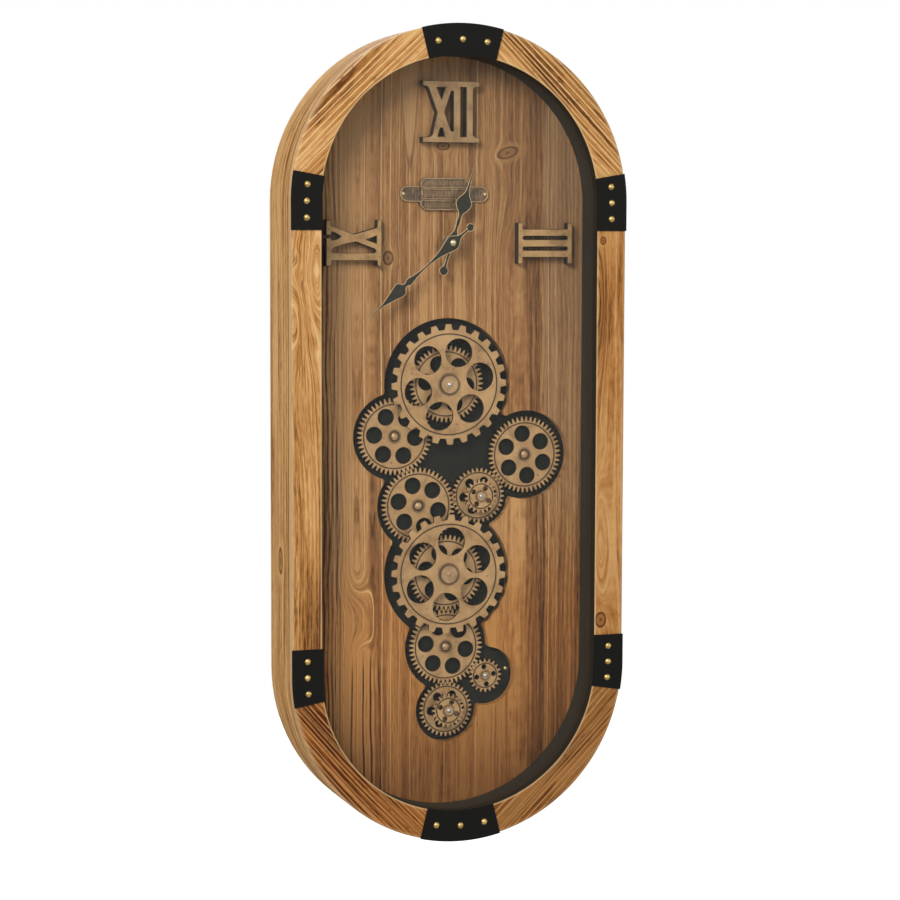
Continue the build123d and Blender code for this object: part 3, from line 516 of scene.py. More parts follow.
def ring_tone(stain):
    """Each board's own stain, calm outer edges, pale worn edges and corners that are partly painted highlight,
    dark paint in the opening and a painted shadow at the seam.
    """
    def tone(g, colour, x, y, z):
        radius = case_radius(g, x, z)
        colour = g.stained(colour, stain)
        edge = g.times(g.smooth(g.facing(), 0.8, 0.3), g.smooth(radius, 0.15, 0.16))
        colour = g.mix(g.times(edge, 0.65), colour, END_GRAIN)
        # Wear and painted highlight: the outer edge and the rounded corner at the opening are lightened all round
        worn_highlight = g.smooth(radius, RING_OUTER - WORN_HIGHLIGHT_WIDTH, RING_OUTER)
        colour = g.mix(g.times(worn_highlight, 0.35), colour, WORN_EDGE_HIGHLIGHT)
        corner_highlight = g.smooth(radius, RING_OPENING + CORNER_OUTER, RING_OPENING + CORNER_INNER)
        colour = g.mix(g.times(corner_highlight, 0.5), colour, WORN_CORNER_HIGHLIGHT)
        inner = g.smooth(radius, RING_OPENING + PAINT_OUTER, RING_OPENING + PAINT_INNER)
        return seam_shade(g, g.mix(inner, colour, PAINT), y)

    return tone


def left_rail_burn(g, u, v):
    """The left rail is darker along its inner edge, towards its foot."""
    return g.times(g.smooth(u, -0.168, -0.148), g.smooth(v, -0.35, -0.48, 0.0, 0.6))


# What the ring's boards change in PLAIN_BOARD
RING_BOARD = {"rings": 80.0, "fine": 270.0}
ARC = {
    **RING_BOARD, "fine": 230.0, "ridges": 0.85, "threads": 1.0, "gate": -0.1, "burn": 0.5,
    "streaks": 0.9, "dashes": 0.5,
}
UPPER_ARC = {**ARC, "scorches": ((UPPER_ARC_ALONG, 0.085, 0.34),)}
LOWER_ARC = {
    **ARC, "ridges": 1.0, "burn": 0.35, "streaks": 0.45, "scorches": ((LOWER_ARC_ALONG, 0.1, 0.6),),
}
LEFT_RAIL = {
    **RING_BOARD, "ridges": 0.6, "threads": 0.5, "burn": 0.5, "streaks": 0.5, "dashes": 0.4,
    "figures": ((-0.147, -0.135, 0.010, 0.05, 0.026), (-0.165, -0.19, 0.008, 0.04, -0.012)),
    "curls": ((-0.15, 0.10, 0.03),), "strips": left_rail_burn,
}
RIGHT_RAIL = {
    **RING_BOARD, "rings": 44.0, "ridges": 0.3, "threads": 0.15, "burn": 0.45, "streaks": 0.6,
    "dashes": 0.2,
    "figures": ((0.150, -0.17, 0.009, 0.06, -0.026), (0.150, -0.41, 0.011, 0.07, 0.03)),
    "knots": ((0.1475, -0.108, 0.0028, 0.0036, 0.0), (0.1478, -0.4865, 0.0052, 0.0070, 0.0)),
    "scorches": ((-0.17, 0.07, 0.3),),
}


def ring_materials():
    """Each ring board has its own grain angle, seed, stain and look."""
    boards = {
        "ring_arc_top_left": (45.0, 1.0, rgb(250, 240, 226), UPPER_ARC),
        "ring_arc_top_right": (-45.0, 4.0, rgb(246, 236, 220), UPPER_ARC),
        "ring_arc_bottom_left": (-42.0, 7.0, rgb(204, 172, 140), LOWER_ARC),
        "ring_arc_bottom_right": (45.0, 11.0, rgb(192, 168, 142), LOWER_ARC),
        "ring_rail_left": (0.0, 15.0, rgb(255, 250, 242), LEFT_RAIL),
        "ring_rail_right": (0.0, 21.0, rgb(238, 224, 208), RIGHT_RAIL),
    }
    for node, (angle, seed, stain, look) in boards.items():
        across, along = turned(angle)
        tone = ring_tone(stain)
        paint(node, wood(node + "_wood", across, along, depth, RING_PALETTE, seed=seed, tone=tone, **look))


def band_material():
    """The side band's grain follows the band round the case."""
    def across(g, x, y, z):
        return y

    def along(g, x, y, z):
        from_middle = g.less(z, CASE_MIDDLE)
        inward = g.less(RING_OUTER, g.math("ABSOLUTE", x))
        return g.add(from_middle, g.times(g.math("SIGN", from_middle), inward))

    def through(g, x, y, z):
        return g.times(x, 0.1)

    def tone(g, colour, x, y, z):
        # The seam's dark line is painted shade of the gap to the ring boards
        return seam_shade(g, colour, y)

    g = wood("band_wood", across, along, through, BAND_PALETTE, rings=110.0, fine=330.0, ridge_rate=150.0,
             wander=0.003, seed=2.0, burn=0.85, ridges=0.6, threads=0.5, streaks=0.9, fibres=1.9,
             knots=((-0.038, -0.120, 0.0070, 0.0115, 0.0),), tone=tone, bump=0.2, shine=0.02)
    paint("side_band", g)


# Tones of the dial's strips, from its left edge to its right: a place across, in metres, and how
# much darker the strip is than the dial's middle tone
UPPER_STRIPS = (
    (-0.140, 0.16), (-0.112, 0.0), (-0.081, -0.04), (-0.079, 0.14), (-0.064, 0.22), (-0.062, 0.18),
    (-0.031, 0.2), (-0.028, 0.02), (0.000, 0.02), (0.004, -0.1), (0.016, -0.06), (0.018, 0.06),
    (0.040, 0.02), (0.042, 0.14), (0.074, 0.16), (0.077, 0.06), (0.098, 0.12), (0.100, -0.18),
    (0.1145, -0.14), (0.117, 0.10), (0.140, 0.12),
)
LOWER_STRIPS = (
    (-0.140, 0.22), (-0.112, 0.16), (-0.106, -0.12), (-0.102, -0.04), (-0.081, 0.02), (-0.079, 0.3),
    (-0.065, 0.26), (-0.063, 0.04), (-0.034, 0.1), (-0.008, 0.0), (0.038, -0.1), (0.066, -0.08),
    (0.068, -0.26), (0.083, -0.28), (0.085, -0.02), (0.0985, 0.02), (0.0995, 0.3), (0.103, 0.3),
    (0.105, -0.14), (0.118, -0.04), (0.120, 0.12), (0.140, 0.18),
)

# The dial's knots and nested arches, as knot_flow and tongues take them
DIAL_KNOTS = (
    (0.0625, -0.0215, 0.0100, 0.0050, 18.0), (-0.0615, -0.1255, 0.0048, 0.0062, 0.0),
    (-0.005, -0.016, 0.006, 0.0035, 0.0),
)
DIAL_ARCHES = (
    (-0.095, -0.478, 0.012, 0.05, 0.034), (-0.090, -0.489, 0.010, -0.030, 0.018),
    (0.062, -0.05, 0.014, -0.09, 0.014),
)
ARCHES_MIDDLE = -0.475

# The dial's pale tongue: its axis, its tip, how fast its square half width grows, and the reach
# of its edge and its rim in square metres
TONGUE_AXIS, TONGUE_TIP, TONGUE_SPREAD = -0.0395, -0.034, 0.0009
TONGUE_EDGE = 0.000006
TONGUE_RIM_OUTER, TONGUE_RIM_INNER = 0.000010, 0.000002
TONGUE = rgb(196, 152, 104)
TONGUE_RIM = rgb(98, 64, 40)

# The tones that lie over the dial's top, right side, lower part, foot and back
DIAL_TOP = rgb(112, 83, 57)
DIAL_RIGHT = rgb(150, 124, 94)
DIAL_LOWER_STAIN = rgb(244, 226, 196)
DIAL_FOOT_STAIN = rgb(198, 188, 174)
DIAL_BACK = rgb(206, 172, 128)


def dial_strips(g, u, v):
    """The tone of the strip at a place across the dial, with one row for its top and one for its foot."""
    rows = []
    for strips in (UPPER_STRIPS, LOWER_STRIPS):
        stops = [(0.5 + place / (2 * DIAL_HALF), 0.5 + share) for place, share in strips]
        rows.append(g.ramp(g.add(g.times(u, 0.5 / DIAL_HALF), 0.5), stops))
    return g.centred(g.mix(g.smooth(v, -0.27, -0.42), *rows))


def dial_lines(g, u, v):
    """The dark lines are strong at the dial's left, weaker at its right, and soft round its arches."""
    left = g.smooth(u, -0.045, -0.09, 0.4, 1.35)
    from_arches = g.distance(v, ARCHES_MIDDLE)
    right = g.smooth(u, 0.035, 0.075, 0.0, 0.4)
    return g.add(g.times(left, g.smooth(from_arches, 0.04, 0.08, 0.3, 1.0)), right)


def dial_grooves(g, u, v):
    """Dark grooves with pale ridges between them, brushed out at the dial's sides and its left foot."""
    wander = g.noise(g.vector(g.times(u, 20.0), 0.0, g.times(v, 6.0)))
    groove, each = growth_lines(g, g.add(u, g.times(wander, 0.016)), 230.0, 0.3)
    dark = g.times(g.ramp(groove, GROOVE_STOPS), g.smooth(each, 0.0, 0.7, 0.35, 1.0))
    foot = g.times(g.smooth(u, -0.06, -0.08), g.smooth(v, -0.505, -0.55))
    side = g.add(g.smooth(u, -0.1, -0.11, 0.0, 0.5), g.smooth(u, 0.055, 0.085, 0.0, 0.17))
    return g.times(g.less(dark, 0.3), g.times(g.math("MAXIMUM", foot, side), 1.5))


def pale_tongue(g, colour, x, z):
    """A pale tongue with a dark rim, the end of a growth ring, that hangs from the dial's top."""
    from_axis = g.less(x, TONGUE_AXIS)
    above = g.less(z, TONGUE_TIP)
    inside = g.less(g.times(above, TONGUE_SPREAD), g.times(from_axis, from_axis))
    tongue = g.smooth(inside, 0.0, TONGUE_EDGE)
    rim = g.smooth(g.math("ABSOLUTE", inside), TONGUE_RIM_OUTER, TONGUE_RIM_INNER)
    colour = g.mix(g.times(tongue, 0.75), colour, TONGUE)
    return g.mix(g.times(rim, g.smooth(from_axis, -0.003, 0.003, 0.4, 0.7)), colour, TONGUE_RIM)


def dial_tone(g, colour, x, y, z):
    """The dial is browner at its top, greyer at its right and darker at its foot. Its back is raw."""
    colour = pale_tongue(g, colour, x, z)
    colour = g.mix(g.times(g.smooth(z, -0.35, 0.0), 0.33), colour, DIAL_TOP)
    grey = g.times(g.smooth(x, 0.099, 0.102), g.smooth(z, -0.42, -0.3))
    colour = g.mix(g.times(grey, 0.3), colour, DIAL_RIGHT)
    colour = g.mix(g.smooth(z, -0.36, -0.5), colour, g.stained(colour, DIAL_LOWER_STAIN))
    colour = g.mix(g.smooth(z, -0.5, -0.68), colour, g.stained(colour, DIAL_FOOT_STAIN))
    raw = g.mix(0.55, colour, DIAL_BACK)
    return g.mix(g.smooth(g.facing(), -0.3, -0.7), colour, raw)


def board_materials():
    """The dial, and the raw boards behind it."""
    across, along = turned(0.0)
    g = wood("dial_wood", across, along, depth, DIAL_PALETTE, rings=75.0, fine=170.0, ridge_rate=105.0,
             wander=0.004, seed=5.0, burn=0.6, ridges=1.0, threads=0.0, streaks=0.26, fibres=1.5,
             patches=0.5, dashes=0.25, planks=((26.0, 0.3), (95.0, 0.26)), strips=dial_strips,
             lines=dial_lines, grooves=dial_grooves, knots=DIAL_KNOTS, arches=DIAL_ARCHES,
             tone=dial_tone, bump=0.5)
    paint("dial_board", g)
    raw = {"ridges": 0.3, "streaks": 0.5}
    paint("back_frame", wood("back_wood", across, along, depth, RAW_PALETTE, seed=9.0, burn=0.3, **raw))
    across, along = turned(90.0)
    g = wood("batten_wood", across, along, depth, RAW_PALETTE, rings=110.0, seed=12.0, burn=0.35, **raw)
    paint("hanger_batten", g)


# Marks along the liner and the name plate: their scales in x, y and z, detail and roughness
LINER_BRUSH = ((18.0, 420.0, 18.0), 3.0, 0.5)
PLAQUE_SCRATCH = ((900.0, 200.0, 90.0), 3.0, 0.7)

# Painted bronze: light, middle and dark tones, and the dark tone of edges and turned marks: patina, and on the
# wheels also painted shade
GEAR_PALETTE = (rgb(190, 152, 104), rgb(170, 133, 88), rgb(128, 94, 60), rgb(60, 45, 30))
NUMERAL_PALETTE = (rgb(186, 149, 98), rgb(164, 127, 80), rgb(110, 82, 50), rgb(44, 40, 33))
UPPER_NUMERAL_PALETTE = (rgb(166, 133, 92), rgb(144, 112, 74), rgb(98, 74, 47), rgb(44, 40, 33))

# The depths of the wheels' front faces, and the radii of their hubs and turned grooves
GREAT_WHEEL = (GREAT_FRONT, 0.0094, 0.0499)
BACK_WHEEL = (FINE_FRONT, 0.008, 0.0319)
FINE_WHEEL = (FINE_FRONT, 0.0051, 0.0319)
SMALL_WHEEL = (FINE_FRONT, 0.0044, 0.0229)
FRONT_PINION = (GREAT_FRONT, 0.0044, 0.01235)
SIDE_PINION = (FINE_FRONT, 0.0036, 0.01235)
WHEELS = {
    "upper_great_wheel": GREAT_WHEEL,
    "lower_great_wheel": GREAT_WHEEL,
    "upper_back_wheel": BACK_WHEEL,
    "lower_back_wheel": BACK_WHEEL,
    "left_wheel": FINE_WHEEL,
    "right_wheel": FINE_WHEEL,
    "middle_wheel": FINE_WHEEL,
    "low_wheel": FINE_WHEEL,
    "small_wheel": SMALL_WHEEL,
    "bottom_wheel": SMALL_WHEEL,
    "small_pinion": FRONT_PINION,
    "bottom_pinion": FRONT_PINION,
    "side_pinion": SIDE_PINION,
}

# How far the patina and painted contact shade reach out from a hub, and the outer and inner reach of
# the soft edges of a groove's patina and painted shade and of the front face's depth
HUB_SHADE_WIDTH = 0.0036
GROOVE_OUTER, GROOVE_INNER = 0.0012, 0.0005
FRONT_OUTER, FRONT_INNER = 0.0003, 0.0002

# The dark rim of the great wheels' caps, patina and painted contact shade: where it begins and ends, outwards, and
# its colour
CAP_RIM_STARTS = (0.0083, 0.0088)
CAP_RIM_ENDS = (0.0110, 0.0100)
CAP_PATINA_SHADE = rgb(66, 46, 30)


def liner_material():
    """Dark paint, brushed round the liner."""
    g = Graph("liner_paint", Roughness=0.6, Specular_IOR_Level=0.15)
    brushed = g.stretched(g.split(), LINER_BRUSH)
    g.set("Base Color", g.ramp(brushed, ((0.3, rgb(39, 35, 26)), (0.7, rgb(55, 49, 38)))))
    g.bump(brushed, 0.15, 0.4 * MILLIMETRE)
    paint("liner_band", g)


def turned_marks(g, centre, hub, groove_radius):
    """Patina and painted shade round a wheel's hub and in and beside its turned groove."""
    radius = from_axle(g, centre)
    # Patina and painted contact shade round the hub, and a dark band wider than the groove for its shade
    hub_shade = g.smooth(radius, hub + HUB_SHADE_WIDTH, hub)
    ring = g.smooth(g.distance(radius, groove_radius), GROOVE_OUTER, GROOVE_INNER)
    return g.math("MAXIMUM", g.times(hub_shade, 0.75), g.times(ring, 0.6))


def bronze(name, front_depth, palette, *turning):
    """Antique bronze paint: tan on the front face, dark patina on the edges, and patina with painted shade in
    turned marks.

    turning is a wheel's centre, its hub's radius and its groove's radius. The numerals have none.
    """
    light, middle, dark, patina_and_shade = palette
    g = Graph(name, Metallic=0.15, Specular_IOR_Level=0.3)
    front = g.smooth(g.distance(g.split()[1], front_depth), FRONT_OUTER, FRONT_INNER)
    flat = g.smooth(g.facing(), 0.6, 0.95)
    grime = speckle(g, 420.0, 4.0, 0.7)
    share = g.add(g.times(speckle(g, 55.0), 0.65), g.times(grime, 0.35))
    face = g.ramp(share, ((0.32, dark), (0.46, middle), (0.62, light)))
    if turning:
        face = g.mix(turned_marks(g, *turning), face, patina_and_shade)
    g.set("Base Color", g.mix(g.times(front, flat), patina_and_shade, face))
    g.set("Roughness", g.smooth(grime, 0.3, 0.7, 0.38, 0.6))
    g.bump(grime, 0.12, 0.2 * MILLIMETRE)
    return g


def gear_materials():
    for node, (front_depth, hub, groove_radius) in WHEELS.items():
        centre = axle_of_body[body_of_node[node]]
        paint(node, bronze(node + "_bronze", front_depth, GEAR_PALETTE, centre, hub, groove_radius))
    numeral = bronze("numeral_bronze", NUMERAL_FRONT, NUMERAL_PALETTE)
    for node in ("numeral_three", "numeral_nine"):
        paint(node, numeral)
    paint("numeral_twelve", bronze("upper_numeral_bronze", NUMERAL_FRONT, UPPER_NUMERAL_PALETTE))


def worn_metal(name, light, dark, scale=160.0, tone=None, **settings):
    g = Graph(name, **settings)
    wear = speckle(g, scale, 4.0, 0.65)
    colour = g.ramp(wear, ((0.35, dark), (0.65, light)))
    g.set("Base Color", colour if tone is None else tone(g, colour))
    g.set("Roughness", g.smooth(wear, 0.3, 0.7, 0.28, 0.5))
    g.bump(wear, 0.08, 0.2 * MILLIMETRE)
    return g


def cap_bronze(name, centre):
    """Bronze caps. The great wheel's cap has a dark rim of patina and painted shade where it meets the wheel."""
    def tone(g, colour):
        radius = from_axle(g, centre)
        rim = g.times(g.smooth(radius, *CAP_RIM_STARTS), g.smooth(radius, *CAP_RIM_ENDS))
        return g.mix(g.times(rim, 0.85), colour, CAP_PATINA_SHADE)

    return worn_metal(name, rgb(184, 150, 106), rgb(148, 118, 80), 200.0, tone, Metallic=0.3)


def moulded(name, light, dark, grain=900.0, shine=0.12):
    g = Graph(name, Specular_IOR_Level=shine)
    texture = speckle(g, grain, 2.0, 0.5)
    g.set("Base Color", g.ramp(texture, ((0.3, dark), (0.7, light))))
    g.set("Roughness", g.smooth(texture, 0.3, 0.7, 0.5, 0.7))
    g.bump(texture, 0.2, 0.15 * MILLIMETRE)
    return g


def front_metals():
    """Plates, nails, screws, caps and pins, and the brass of the hands' axle."""
    plate = moulded("plate_black", rgb(18, 17, 15), rgb(11, 11, 9), 700.0)
    for end in ("top", "bottom", "upper_left", "upper_right", "lower_left", "lower_right"):
        paint("plate_" + end, plate)
    paint("well_plate", moulded("well_black", rgb(40, 40, 35), rgb(33, 33, 28), 120.0, 0.06))
    brass = worn_metal("nail_brass", rgb(208, 180, 116), rgb(164, 130, 74), 300.0, Metallic=1.0)
    paint("plate_nails", brass)
    screw = worn_metal("screw_brass", rgb(214, 192, 146), rgb(150, 126, 86), 500.0, Metallic=0.8)
    paint("small_screws", screw)
    paint("post_caps", cap_bronze("cap_bronze", axle_of_body["upper_gears"]))
    paint("drive_shaft", cap_bronze("drive_cap_bronze", axle_of_body["lower_gears"]))
    pin = worn_metal("pin_dark", rgb(70, 58, 44), rgb(40, 33, 26), 500.0, Metallic=0.6)
    paint("numeral_pins", pin)
    nut = worn_metal("nut_brass", rgb(216, 206, 166), rgb(176, 164, 122), 500.0, Metallic=0.9)
    paint("hand_nut", nut)
    paint("minute_arbor", brass)


def hidden_materials():
    """Steel and plastic behind the dial."""
    steel = worn_metal("fixing_steel", rgb(190, 188, 182), rgb(150, 148, 144), 300.0, Metallic=0.95)
    for node in ("hanger_plates", "hanger_screws", "gear_posts", "bushing_nut", "drive_motor"):
        paint(node, steel)
    black = moulded("movement_plastic", rgb(34, 34, 35), rgb(24, 24, 25))
    for node in ("movement_case", "movement_cover", "drive_case", "drive_cover", "battery_door"):
        paint(node, black)
    grip = moulded("grip_plastic", rgb(66, 66, 68), rgb(48, 48, 50))
    for node in ("setting_knob", "switch_slider"):
        paint(node, grip)
    for node in ("hour_wheel", "minute_wheel"):
        paint(node, moulded("works_plastic_" + node, rgb(226, 222, 210), rgb(212, 208, 196)))


def cell_material():
    """Battery cells: a plain green wrap between bare metal ends."""
    g = Graph("cell_label", Metallic=0.5, Roughness=0.35)
    pale = rgb(196, 196, 190)
    stops = ((0.0, rgb(150, 150, 150)), (0.03, rgb(60, 84, 70)), (0.86, pale), (1.0, pale))
    band = g.ramp(g.add(g.times(g.split()[0], 20.0), 0.5), stops, "CONSTANT")
    g.set("Base Color", g.mix(g.times(speckle(g, 300.0), 0.2), band, rgb(30, 30, 30)))
    paint("battery_cells", g)


def glass_material():
    """Clear glass: the photograph shows hardly any reflection in it."""
    paint("glass_pane", Graph("glass", Base_Color=rgb(232, 236, 232), Roughness=0.08, Alpha=0.01))


def link(thing):
    """Adds an object to the scene."""
    bpy.context.scene.collection.objects.link(thing)
    return thing


def new_piece(name, mesh, body, *graphs):
    piece = link(bpy.data.objects.new(name, mesh))
    for graph in graphs:
        mesh.materials.append(graph.material)
    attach(piece, body)
    return piece


# The hands' angles in degrees, clockwise from straight up. Their pale rims have this width, but
# at most this share of the hand's half width
HAND_ANGLES = {"hour_hand": 17.4, "minute_hand": 229.7}
HAND_RIM_WIDTH = 0.0004
HAND_RIM_SHARE = 0.28


def narrow_rim(front, pivot, axis):
    """Draws the rim in where the hand is slender, so that the black runs on to the tips."""
    inner = {vert for face in front for vert in face.verts}
    for vert in inner:
        outer = [edge.other_vert(vert) for edge in vert.link_edges if edge.other_vert(vert) not in inner]
        if not outer:
            continue
        start = outer[0].co
        from_pivot = Vector((start.x - pivot.x, start.z - pivot.z))
        half_width = abs(from_pivot.x * axis.y - from_pivot.y * axis.x)
        share = min(1.0, HAND_RIM_SHARE * half_width / HAND_RIM_WIDTH)
        vert.co = start + (vert.co - start) * share


def edged_mesh(node, angle):
    """A copy of a hand's mesh: slot 0 is its face, and slot 1 is a rim along the outline and the edges."""
    mesh = nodes[node].data.copy()
    mesh.materials.clear()
    shape = bmesh.new()
    shape.from_mesh(mesh)
    bmesh.ops.remove_doubles(shape, verts=shape.verts, dist=1e-6)
    for face in shape.faces:
        face.material_index = 1
    front = [face for face in shape.faces if face.normal.y < -0.99]
    bmesh.ops.inset_region(shape, faces=front, thickness=HAND_RIM_WIDTH, use_even_offset=True)
    turn = math.radians(angle)
    narrow_rim(front, axle_of_body[body_of_node[node]], Vector((math.sin(turn), math.cos(turn))))
    for face in front:
        face.material_index = 0
    shape.to_mesh(mesh)
    shape.free()
    return mesh


def edged_hands():
    """Black hands with a pale rim along their outline and on their edges."""
    black = moulded("hand_black", rgb(52, 50, 41), rgb(42, 41, 34), 400.0)
    rim = worn_metal("hand_rim", rgb(226, 202, 154), rgb(190, 160, 112), 600.0, Metallic=0.3)
    for node, angle in HAND_ANGLES.items():
        piece = new_piece(node + "_edged", edged_mesh(node, angle), body_of_node[node], black, rim)
        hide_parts(node)


# The brads' size and mesh, and for each wheel their reach from its axle, the depth of its front
# face and their angles, clockwise from straight up
BRAD_RADIUS, BRAD_RISE = 0.0011, 0.0004
BRAD_RINGS, BRAD_SIDES = 5, 24
BRADS = {
    "upper_great_wheel": (0.0405, GREAT_FRONT, (47.5, 168.0, -73.0)),
    "lower_great_wheel": (0.0405, GREAT_FRONT, (-23.5, 94.5, 214.5)),
    "left_wheel": (0.0262, FINE_FRONT, (187.0, 7.0)),
    "right_wheel": (0.0255, FINE_FRONT, (146.0, -34.0)),
    "middle_wheel": (0.026, FINE_FRONT, (15.0, 195.0)),
    "low_wheel": (0.0255, FINE_FRONT, (-109.0, 71.0)),
}


def brad_mesh(name, centre):
    """A low round head that stands out of the plane at the centre."""
    shape = bmesh.new()
    rows = []
    for ring in range(BRAD_RINGS):
        angle = math.pi / 2 * ring / BRAD_RINGS
        row = []
        for side in range(BRAD_SIDES):
            turn = 2 * math.pi * side / BRAD_SIDES
            out = BRAD_RADIUS * math.cos(angle)
            place = Vector((out * math.cos(turn), -BRAD_RISE * math.sin(angle), out * math.sin(turn)))
            row.append(shape.verts.new(centre + place))
        rows.append(row)
    top = shape.verts.new(centre + Vector((0, -BRAD_RISE, 0)))
    for lower, upper in zip(rows, rows[1:]):
        for side in range(BRAD_SIDES):
            after = (side + 1) % BRAD_SIDES
            shape.faces.new((lower[side], lower[after], upper[after], upper[side]))
    for side in range(BRAD_SIDES):
        shape.faces.new((rows[-1][side], rows[-1][(side + 1) % BRAD_SIDES], top))
    shape.faces.new(rows[0])
    bmesh.ops.recalc_face_normals(shape, faces=shape.faces)
    for face in shape.faces:
        face.smooth = True
    mesh = bpy.data.meshes.new(name)
    shape.to_mesh(mesh)
    shape.free()
    return mesh


def gear_brads():
    """Small brads on the faces of the wheels."""
    brad = worn_metal("brad_bronze", rgb(176, 146, 106), rgb(110, 86, 58), 600.0, Metallic=0.5)
    for node, (reach, front_depth, angles) in BRADS.items():
        body = body_of_node[node]
        for number, angle in enumerate(angles):
            turn = math.radians(angle)
            spot = axle_of_body[body] + Vector((reach * math.sin(turn), 0, reach * math.cos(turn)))
            spot.y = front_depth
            name = f"{node}_brad_{number}"
            piece = new_piece(name, brad_mesh(name, spot), body, brad)


# The name plate, in metres: its middle, the depths of its ears' and bands' faces, and the sizes
# of the upper and lower bands, the middle band and the ears, each from the plate's middle
PLAQUE_X, PLAQUE_Z = -0.0043, -0.0628
EAR_FRONT, BAND_FRONT, MIDDLE_FRONT = -0.04, -0.041, -0.042
BAND_HALF, BAND_INNER, BAND_OUTER, BAND_CHAMFER = 0.0245, 0.0066, 0.0152, 0.0042
MIDDLE_HALF, MIDDLE_RISE = 0.0238, 0.0048
EAR_RADIUS, EAR_CENTRE, EAR_INNER = 0.0072, 0.0380, 0.0252
EAR_STEPS = 16
PLAQUE_RIM_RADIUS = 0.0006

# The ribs' size, and for each band the height of its middle, its ribs' length, the depth of its
# face and half of its row's length
RIB_WIDTH, RIB_PITCH, RIB_LIFT = 0.0009, 0.0019, 0.0004
RIB_ROWS = (
    (0.0109, 0.0044, BAND_FRONT, 0.0205), (0.0, 0.0058, MIDDLE_FRONT, 0.0215),
    (-0.0109, 0.0044, BAND_FRONT, 0.0205),
)


def raised_rim(name, corners, front_depth, graph, closed=True):
    """A rounded wire-like rim that lies on the name plate."""
    curve = bpy.data.curves.new(name, "CURVE")
    curve.dimensions = "3D"
    curve.bevel_depth = PLAQUE_RIM_RADIUS
    curve.bevel_resolution = 3
    line = curve.splines.new("POLY")
    line.points.add(len(corners) - 1)
    for point, (x, z) in zip(line.points, corners):
        point.co = (PLAQUE_X + x, front_depth, PLAQUE_Z + z, 1.0)
    line.use_cyclic_u = closed
    piece = link(bpy.data.objects.new(name, curve))
    curve.materials.append(graph.material)
    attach(piece, "case")


def plaque_rims(graph):
    """Rims round the plate's three bands and along the outline of its two ears."""
    for name, side in (("upper", 1), ("lower", -1)):
        inner, outer = side * BAND_INNER, side * BAND_OUTER
        shoulder = outer - side * BAND_CHAMFER
        corners = (
            (-BAND_HALF, inner), (BAND_HALF, inner), (BAND_HALF, shoulder),
            (BAND_HALF - BAND_CHAMFER, outer), (BAND_CHAMFER - BAND_HALF, outer), (-BAND_HALF, shoulder),
        )
        raised_rim(f"plaque_rim_{name}", corners, BAND_FRONT, graph)
    corners = ((-MIDDLE_HALF, -MIDDLE_RISE), (MIDDLE_HALF, -MIDDLE_RISE), (MIDDLE_HALF, MIDDLE_RISE),
               (-MIDDLE_HALF, MIDDLE_RISE))
    raised_rim("plaque_rim_middle", corners, MIDDLE_FRONT, graph)
    turns = [math.radians(-90 + 180 * step / EAR_STEPS) for step in range(EAR_STEPS + 1)]
    for name, hand in (("left", -1), ("right", 1)):
        arc = [(hand * (EAR_CENTRE + EAR_RADIUS * math.cos(turn)), EAR_RADIUS * math.sin(turn))
               for turn in turns]
        corners = [(hand * EAR_INNER, -EAR_RADIUS), *arc, (hand * EAR_INNER, EAR_RADIUS)]
        raised_rim(f"plaque_rim_{name}", corners, EAR_FRONT, graph, closed=False)


def plaque_ribs(graph):
    """A row of even upright ribs on each of the three bands."""
    shape = bmesh.new()
    for middle, tall, front, half in RIB_ROWS:
        count = int(2 * half / RIB_PITCH) + 1
        for number in range(count):
            across = RIB_PITCH * (number - (count - 1) / 2)
            made = bmesh.ops.create_cube(shape, size=1.0)["verts"]
            bmesh.ops.scale(shape, vec=(RIB_WIDTH, 2 * RIB_LIFT, tall), verts=made)
            bmesh.ops.translate(shape, vec=(PLAQUE_X + across, front, PLAQUE_Z + middle), verts=made)
    mesh = bpy.data.meshes.new("plaque_ribs")
    shape.to_mesh(mesh)
    shape.free()
    piece = new_piece("plaque_ribs", mesh, "case", graph)


def name_plate():
    """Old bronze with upright scratches, dark all over, partly as painted shade between the bands; bright on the
    rims and ribs.
    """
    g = Graph("plaque_bronze", Metallic=0.25, Roughness=0.5)
    scratch = g.stretched(g.split(), PLAQUE_SCRATCH)
    share = g.add(g.times(scratch, 0.7), g.times(speckle(g, 130.0), 0.3))
    # The plate's dark tones are partly painted shade between its bands
    stops = ((0.36, rgb(50, 38, 26)), (0.5, rgb(84, 64, 43)), (0.64, rgb(150, 121, 84)))
    g.set("Base Color", g.ramp(share, stops))
    g.bump(scratch, 0.3, 0.3 * MILLIMETRE)
    paint("name_plaque", g)
    plaque_rims(worn_metal("plaque_rim", rgb(198, 166, 118), rgb(132, 104, 70), 700.0, Metallic=0.3))
    plaque_ribs(worn_metal("plaque_rib", rgb(158, 126, 84), rgb(92, 68, 45), 700.0, Metallic=0.2))


def make_camera():
    data = bpy.data.cameras.new("camera")
    data.lens = CAMERA_LENS
    data.sensor_width = SENSOR_WIDTH
    camera = bpy.data.objects.new("camera", data)
    turn = Matrix.Rotation(math.radians(-CAMERA_YAW), 4, "Z")
    turn @= Matrix.Rotation(math.radians(90 - CAMERA_PITCH), 4, "X")
    turn @= Matrix.Rotation(math.radians(CAMERA_ROLL), 4, "Z")
    camera.matrix_world = Matrix.Translation(CAMERA_PLACE) @ turn
    bpy.context.scene.camera = link(camera)


def make_lamps():
    """Soft round lamps that point at the case's middle."""
    for name, (place, size, power) in LAMPS.items():
        data = bpy.data.lights.new(name, "AREA")
        data.shape = "DISK"
        data.size = size
        data.energy = power
        lamp = bpy.data.objects.new(name, data)
        lamp.location = place
        aim = Vector((0, 0, CASE_MIDDLE)) - Vector(place)
        lamp.rotation_euler = aim.to_track_quat("-Z", "Y").to_euler()
        link(lamp)


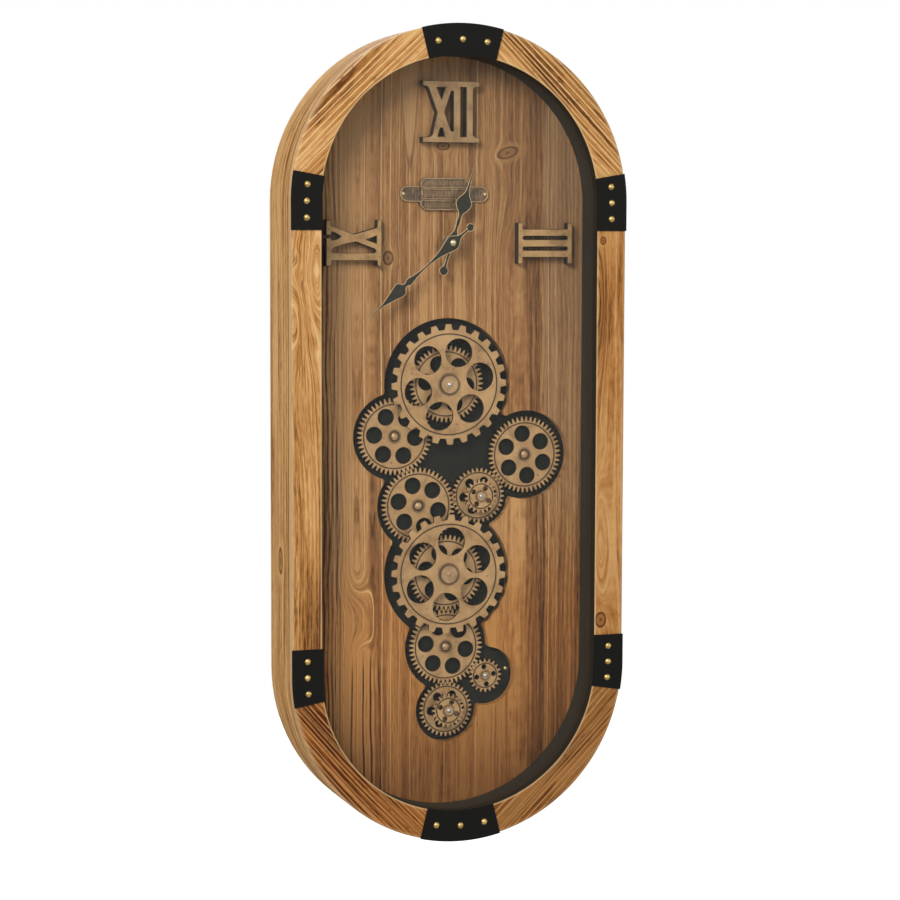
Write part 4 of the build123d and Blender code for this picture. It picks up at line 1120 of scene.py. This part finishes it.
def white_light(tree, strength):
    made = tree.nodes.new("ShaderNodeBackground")
    made.inputs["Strength"].default_value = strength
    made.inputs["Color"].default_value = WHITE
    return made.outputs[0]


def make_world():
    """White to the camera, in reflections and through glass, and a softer light on the object."""
    world = bpy.data.worlds.new("world")
    bpy.context.scene.world = world
    world.use_nodes = True
    tree = world.node_tree
    tree.nodes.clear()
    output = tree.nodes.new("ShaderNodeOutputWorld")
    seen = white_light(tree, BACKDROP_STRENGTH)
    soft = white_light(tree, WORLD_STRENGTH)
    rays = tree.nodes.new("ShaderNodeLightPath")
    either = rays.outputs["Is Camera Ray"]
    for name in ("Is Glossy Ray", "Is Transmission Ray"):
        highest = tree.nodes.new("ShaderNodeMath")
        highest.operation = "MAXIMUM"
        tree.links.new(either, highest.inputs[0])
        tree.links.new(rays.outputs[name], highest.inputs[1])
        either = highest.outputs[0]
    mixed = tree.nodes.new("ShaderNodeMixShader")
    tree.links.new(either, mixed.inputs[0])
    tree.links.new(soft, mixed.inputs[1])
    tree.links.new(seen, mixed.inputs[2])
    tree.links.new(mixed.outputs[0], output.inputs["Surface"])


def make_floor():
    """A pale floor well below the clock, which hangs in front of a white backdrop."""
    mesh = bpy.data.meshes.new("floor")
    shape = bmesh.new()
    bmesh.ops.create_grid(shape, x_segments=1, y_segments=1, size=FLOOR_HALF)
    shape.to_mesh(mesh)
    shape.free()
    floor = bpy.data.objects.new("floor", mesh)
    floor.location = (0, 0, FLOOR_HEIGHT)
    link(floor)
    g = Graph("floor_white", Base_Color=(FLOOR_WHITE, FLOOR_WHITE, FLOOR_WHITE, 1.0), Roughness=0.9)
    g.set("Emission Color", WHITE)
    seen = g.node("ShaderNodeLightPath", "Is Camera Ray", {})
    g.set("Emission Strength", g.times(seen, FLOOR_WHITE))
    mesh.materials.append(g.material)


ring_materials()
band_material()
board_materials()
liner_material()
gear_materials()
front_metals()
name_plate()
hidden_materials()
cell_material()
edged_hands()
gear_brads()
glass_material()
make_camera()
make_world()
make_floor()
make_lamps()

bpy.context.scene.view_settings.view_transform = "Standard"
